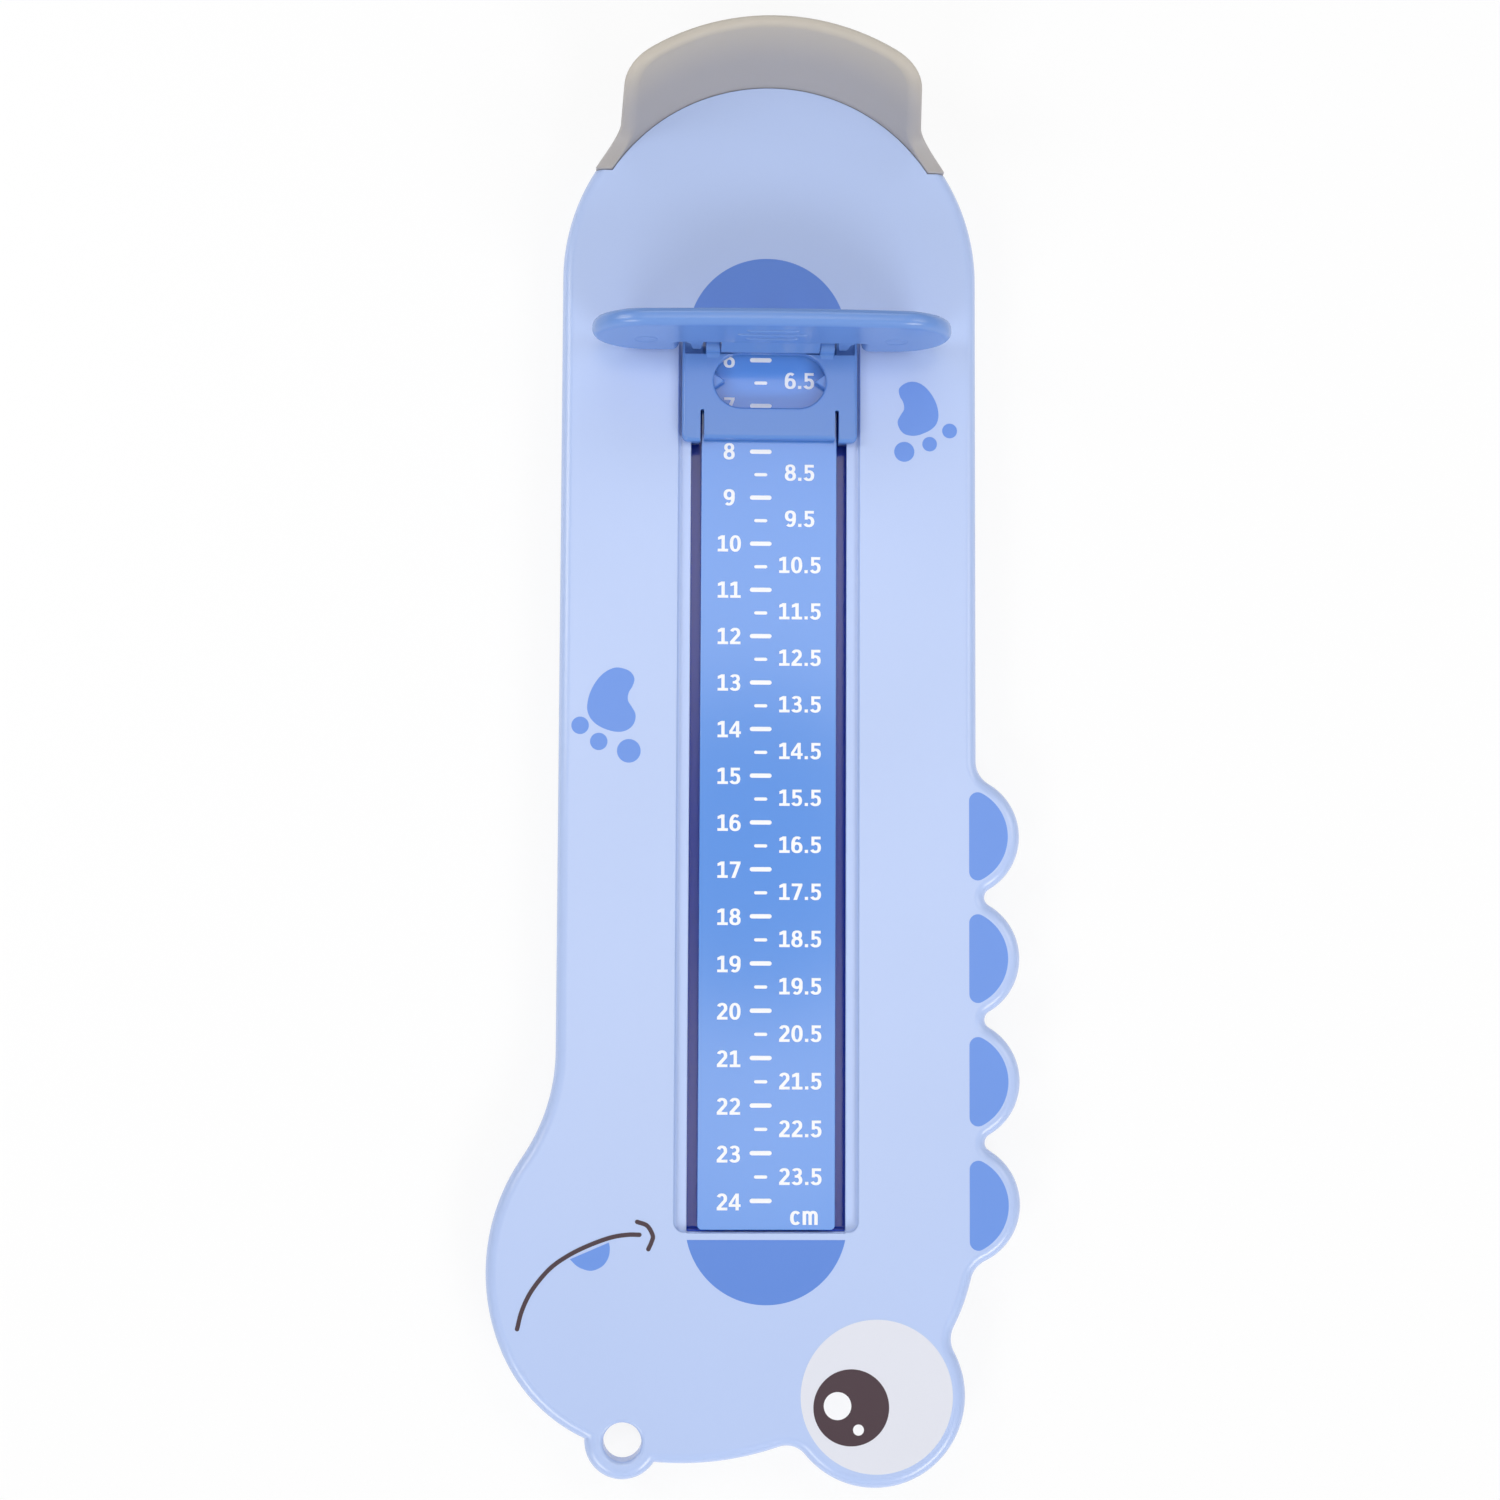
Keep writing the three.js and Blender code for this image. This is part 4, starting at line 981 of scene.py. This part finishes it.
def prints():
    segments = [segment_print(CHANNEL_TAIL - 1.35, -1, 0, 13.6),
                segment_print(CHANNEL_HEEL + 1.4, 1, -0.5, 14)]
    printed("print_segments", segments, INK_DEEP, INK)
    blue = [spine_print(y) for y in SPINES]
    blue += [smooth_loop(BEAN_LEFT), smooth_loop(BEAN_RIGHT)] + [circle(x, y, r, 64) for x, y, r in TOES]
    blue.append(smooth_line(TONGUE))
    printed("print_spots", blue, INK_BLUE, INK)
    printed("print_eye_white", [circle(*EYE_WHITE, 160)], INK_EYE, INK)
    printed("print_pupil", [circle(*PUPIL, 128)], INK_DARK, 2 * INK)
    lights = [circle(*LARGE_LIGHT, 64), circle(*SMALL_LIGHT, 48)]
    printed("print_eye_lights", lights, INK_WHITE, 3 * INK)
    lines = [stroke(smooth_line(MOUTH), MOUTH_WIDTH), stroke(smooth_line(MOUTH_CORNER), MOUTH_WIDTH)]
    printed("print_mouth", lines, INK_DARK, 2 * INK)


# Numbers: built from bars, bowls and slanted strokes in units of their height

def bowl(x, y, rx, ry, tx, ty, start, end, power=2.3, count=28):
    """Part of a thick rounded ring, from one angle to another in degrees."""
    def ring(a, b):
        out = []
        for i in range(count + 1):
            t = math.radians(start + (end - start) * i / count)
            c, s = math.cos(t), math.sin(t)
            k = (abs(c) ** power + abs(s) ** power) ** (-1 / power)
            out.append((x + a * k * c, y + b * k * s))
        return out
    return ring(rx, ry) + ring(rx - tx, ry - ty)[::-1]


BOLD = (0.195, 0.155)


def ring_of(x, y, rx, ry, tx, ty):
    return [bowl(x, y, rx, ry, tx, ty, start, start + 184) for start in (-2, 178)]


SIX = ring_of(0.385, 0.325, 0.325, 0.335, *BOLD) + [
    bowl(0.4, 0.5, 0.34, 0.51, 0.2, 0.155, 52, 200)]
DIGITS = {
    "0": ring_of(0.385, 0.5, 0.325, 0.51, *BOLD),
    "1": [bar(0.31, 0, 0.5, 1), bar(0.09, 0, 0.7, 0.165),
          [(0.1, 0.72), (0.31, 0.78), (0.31, 1), (0.1, 0.89)]],
    "2": [bowl(0.375, 0.7, 0.3, 0.31, *BOLD, -28, 158),
          [(0.08, 0.17), (0.08, 0.0), (0.3, 0.13), (0.66, 0.56), (0.5, 0.66)], bar(0.08, 0, 0.69, 0.165)],
    "3": [bowl(0.36, 0.75, 0.29, 0.26, 0.19, 0.145, -88, 152),
          bowl(0.36, 0.29, 0.32, 0.3, *BOLD, -152, 88), bar(0.24, 0.44, 0.42, 0.59)],
    "4": [bar(0.43, 0, 0.615, 1), bar(0.04, 0.21, 0.72, 0.365),
          [(0.04, 0.21), (0.04, 0.39), (0.43, 1), (0.47, 1), (0.47, 0.82), (0.2, 0.34)]],
    "5": [bar(0.13, 0.835, 0.66, 1), bar(0.13, 0.46, 0.3, 0.95),
          bowl(0.36, 0.325, 0.325, 0.335, *BOLD, -152, 122)],
    "6": SIX,
    "7": [bar(0.08, 0.835, 0.7, 1), [(0.5, 0.9), (0.7, 1), (0.7, 0.88), (0.39, 0), (0.175, 0)]],
    "8": ring_of(0.385, 0.745, 0.29, 0.265, 0.185, 0.14) + ring_of(0.385, 0.29, 0.325, 0.3, 0.195, 0.15),
    "9": [[(0.77 - x, 1 - y) for x, y in polygon] for polygon in SIX],
    ".": [bar(0.1, 0, 0.29, 0.19)],
    "c": [bowl(0.34, 0.39, 0.3, 0.4, 0.19, 0.15, 42, 318)],
    "m": [bar(0.06, 0, 0.25, 0.78), bowl(0.31, 0.5, 0.25, 0.29, 0.18, 0.15, 0, 180), bar(0.38, 0, 0.56, 0.5),
          bowl(0.63, 0.5, 0.25, 0.29, 0.18, 0.15, 0, 180), bar(0.7, 0, 0.88, 0.5)],
}
ADVANCE = {".": 0.386, "c": 0.7, "m": 0.95}
PLAIN_ADVANCE = 0.77
DIGIT_WIDENING = 1.05


def word(text, x, y, height):
    """The polygons of a short word, centred on a point."""
    at = -sum(ADVANCE.get(c, PLAIN_ADVANCE) for c in text) / 2
    out = []
    for c in text:
        step = ADVANCE.get(c, PLAIN_ADVANCE)
        middle = at + step / 2
        out += [[(x + (middle + (px - step / 2) * DIGIT_WIDENING) * height, y + (py - 0.5) * height)
                 for px, py in polygon] for polygon in DIGITS[c]]
        at += step
    return out


def tick(x, y, length, thick):
    """A bar across the strip with round ends."""
    half = (length - thick) / 2
    ends = [[(x + side * (half + thick / 2 * math.cos(a)), y + side * thick / 2 * math.sin(a))
             for a in [math.pi * (i / 8 - 0.5) for i in range(9)]] for side in (1, -1)]
    return ends[0] + ends[1]


def scale_print():
    """Ticks each half centimetre from the heel line, and the numbers, printed a little askew, as on the real
    one. The rows of numbers run a hair longer than the ticks."""
    first, last, tick_x, number_x, half_number_x, height = 12, 48, -1.53, -8.34, 6.88, 3.5
    polygons = []
    for half in range(first, last + 1):
        y = HEEL_LINE - 5 * half
        askew = -0.004 * (y + 1.35)
        if half % 2 == 0:
            polygons.append(tick(askew + tick_x, y, 4.68, 0.94))
            polygons += word(str(half // 2), askew + number_x, 1.0016 * y - 0.08, height)
        else:
            polygons.append(tick(askew + tick_x, y, 2.82, 0.7))
            polygons += word(f"{half / 2:.1f}", askew + half_number_x, 1.0027 * y + 0.33, height)
    polygons += word("cm", 8.04, -94.5, 3.7)
    printed("print_scale", polygons, INK_WHITE, INK, STRIP_TOP)


def ring_mark(bm, centre, across, up, radius, width, height):
    """Adds a thin raised ring about a centre, let into its face by as much as it stands out."""
    out = across.cross(up)
    spokes = [across * x + up * y for x, y in circle(0, 0, 1, 48)]
    hole = radius - width
    rings = [[bm.verts.new((centre + spoke * r + out * h) * MM) for spoke in spokes]
             for r, h in ((radius, -height), (radius, height), (hole, height), (hole, -height))]
    skin(bm, rings + rings[:1])


def ejector_marks():
    """Faint rings that ejector pins leave beside the strip and on the toe plate's front."""
    x, y, z = Vector((1, 0, 0)), Vector((0, 1, 0)), Vector((0, 0, 1))
    track_x, plate_x, plate_z = 18.6, 26.5, 21.5
    bm = bmesh.new()
    for track_y in (49.3, 18.7, -21.4, -50.3, -81.2):
        for side in (-1, 1):
            ring_mark(bm, Vector((side * track_x, track_y, TRACK_FLOOR)), x, y, 2.05, 0.15, 0.03)
    place(new_object("track_marks", finish_mesh(bm, "track_marks", 30)), "base", TRACK)
    bm = bmesh.new()
    for side in (-1, 1):
        ring_mark(bm, Vector((side * plate_x, HINGE_Y + PLATE_FRONT, plate_z)), x, z, 2.45, 0.2, 0.04)
    place(new_object("plate_marks", finish_mesh(bm, "plate_marks", 30)), "toe_plate", PLATE_PAINTED_LIGHTER)


prints()
scale_print()
ejector_marks()


# Floor, lights and camera: in metres, but for the floor's level

FLOOR_Z = -0.8
FLOOR_HALF = 4
FLOOR_GREY = (0.8, 0.8, 0.8, 1)
FLOOR_WHITE = (0.9, 0.9, 0.9, 1)
FLOOR_GLOW = 0.85
SKY_LEVEL = 0.375
LAMP_LEVEL = 3.0
# Discs overhead: the slopes (x, y) of the middle, and the slopes from it where the fading begins and ends
LAMP_DISC = (0.03, 0.05, 0.13, 0.25)
CAMERA_DISC = (0.03, 0.03, 0.045, 0.085)
CAMERA_SHADE = 0.92
# Lamps by name: place, size and power in watts
LAMPS = {
    "key": ((1.05, -1.45, 1.15), (0.9, 0.6), 15),
    "second": ((-1.05, -1.45, 1.15), (0.9, 0.6), 11),
    "right": ((0.42, 0.1, 0.45), (0.2, 0.3), 0.5),
    "left": ((-0.46, 0.16, 0.42), (0.2, 0.3), 0.82),
    "back": ((0.05, 0.95, 0.8), (0.8, 0.4), 2),
}
# The camera that was fitted to the scale's marks: place, and turns in radians about Z, X and Y
CAMERA_AT = (-0.0200885, -0.0332, 0.54282)
CAMERA_TURNS = ((-0.0044833, "Z"), (-0.0698718, "X"), (0.0304596, "Y"))


def floor():
    """A plain pale floor: white to the camera and to gloss, softly shaded by the object."""
    mesh = bpy.data.meshes.new("floor")
    half = FLOOR_HALF
    mesh.from_pydata([(x, y, FLOOR_Z * MM) for x, y in bar(-half, -half, half, half)], [], [(0, 1, 2, 3)])
    thing = new_object("floor", mesh)
    material, nodes, links = new_material("floor")
    nodes.clear()

    paths = add(nodes, "LightPath")
    seen = add(nodes, "Math")
    seen.operation = "MAXIMUM"
    plain = add(nodes, "BsdfDiffuse", Color=FLOOR_GREY)
    white = add(nodes, "BsdfDiffuse", Color=FLOOR_WHITE)
    glow = add(nodes, "Emission", Strength=1)
    bright = add(nodes, "MixShader", Fac=FLOOR_GLOW)
    surface = add(nodes, "MixShader")
    for source, target in ((paths.outputs["Is Camera Ray"], seen.inputs[0]),
                           (paths.outputs["Is Glossy Ray"], seen.inputs[1]),
                           (white.outputs[0], bright.inputs[1]), (glow.outputs[0], bright.inputs[2]),
                           (seen.outputs[0], surface.inputs[0]), (plain.outputs[0], surface.inputs[1]),
                           (bright.outputs[0], surface.inputs[2]),
                           (surface.outputs[0], add(nodes, "OutputMaterial").inputs["Surface"])):
        links.new(source, target)
    mesh.materials.append(material)


def area_light(name, place_at, size, power):
    """A rectangular lamp that shines at the part's middle."""
    lamp = bpy.data.lights.new(name, "AREA")
    lamp.shape = "RECTANGLE"
    lamp.size, lamp.size_y = size
    lamp.energy = power
    thing = new_object(name, lamp)
    thing.location = place_at
    thing.rotation_euler = (-Vector(place_at)).to_track_quat("-Z", "Y").to_euler()


def world():
    """Even light from all round and a soft lamp overhead, with the camera's dark shape in it."""
    sky = bpy.data.worlds.new("studio")
    sky.use_nodes = True
    nodes, links = sky.node_tree.nodes, sky.node_tree.links

    def maths(operation, a, b):
        node = add(nodes, "Math")
        node.operation = operation
        for socket, value in zip(node.inputs, (a, b)):
            if isinstance(value, (int, float)):
                socket.default_value = value
            else:
                links.new(value, socket)
        return node.outputs[0]

    def disc(x, y, near, far):
        """1 within the slope near of a direction, falling smoothly to 0 at the slope far."""
        squares = []
        for i, at in enumerate((x, y)):
            slope = maths("DIVIDE", split.outputs[i], split.outputs[2])
            squares.append(maths("POWER", maths("SUBTRACT", slope, at), 2))
        fade = add(nodes, "MapRange", From_Min=near, From_Max=far, To_Min=1, To_Max=0)
        fade.interpolation_type = "SMOOTHSTEP"
        links.new(maths("POWER", maths("ADD", *squares), 0.5), fade.inputs["Value"])
        return maths("MULTIPLY", fade.outputs["Result"], maths("GREATER_THAN", split.outputs[2], 0.1))

    split = add(nodes, "SeparateXYZ")
    links.new(add(nodes, "TexCoord").outputs["Generated"], split.inputs[0])
    lit = maths("ADD", maths("MULTIPLY", disc(*LAMP_DISC), LAMP_LEVEL), SKY_LEVEL)
    shade = maths("SUBTRACT", 1, maths("MULTIPLY", disc(*CAMERA_DISC), CAMERA_SHADE))
    background = put(nodes["Background"], Color=(1, 1, 1, 1))
    links.new(maths("MULTIPLY", lit, shade), background.inputs["Strength"])
    bpy.context.scene.world = sky


def camera():
    data = bpy.data.cameras.new("camera")
    data.lens = 60
    data.sensor_width = 36
    data.clip_start = 0.01
    data.clip_end = 20
    turn = Matrix.Identity(3)
    for angle, axis in CAMERA_TURNS:
        turn = turn @ Matrix.Rotation(angle, 3, axis)
    thing = new_object("camera", data)
    thing.matrix_world = Matrix.Translation(CAMERA_AT) @ turn.transposed().to_4x4()
    bpy.context.scene.camera = thing


floor()
world()
for lamp_name, settings in LAMPS.items():
    area_light(lamp_name, *settings)
camera()
bpy.context.scene.view_settings.view_transform = "Standard"
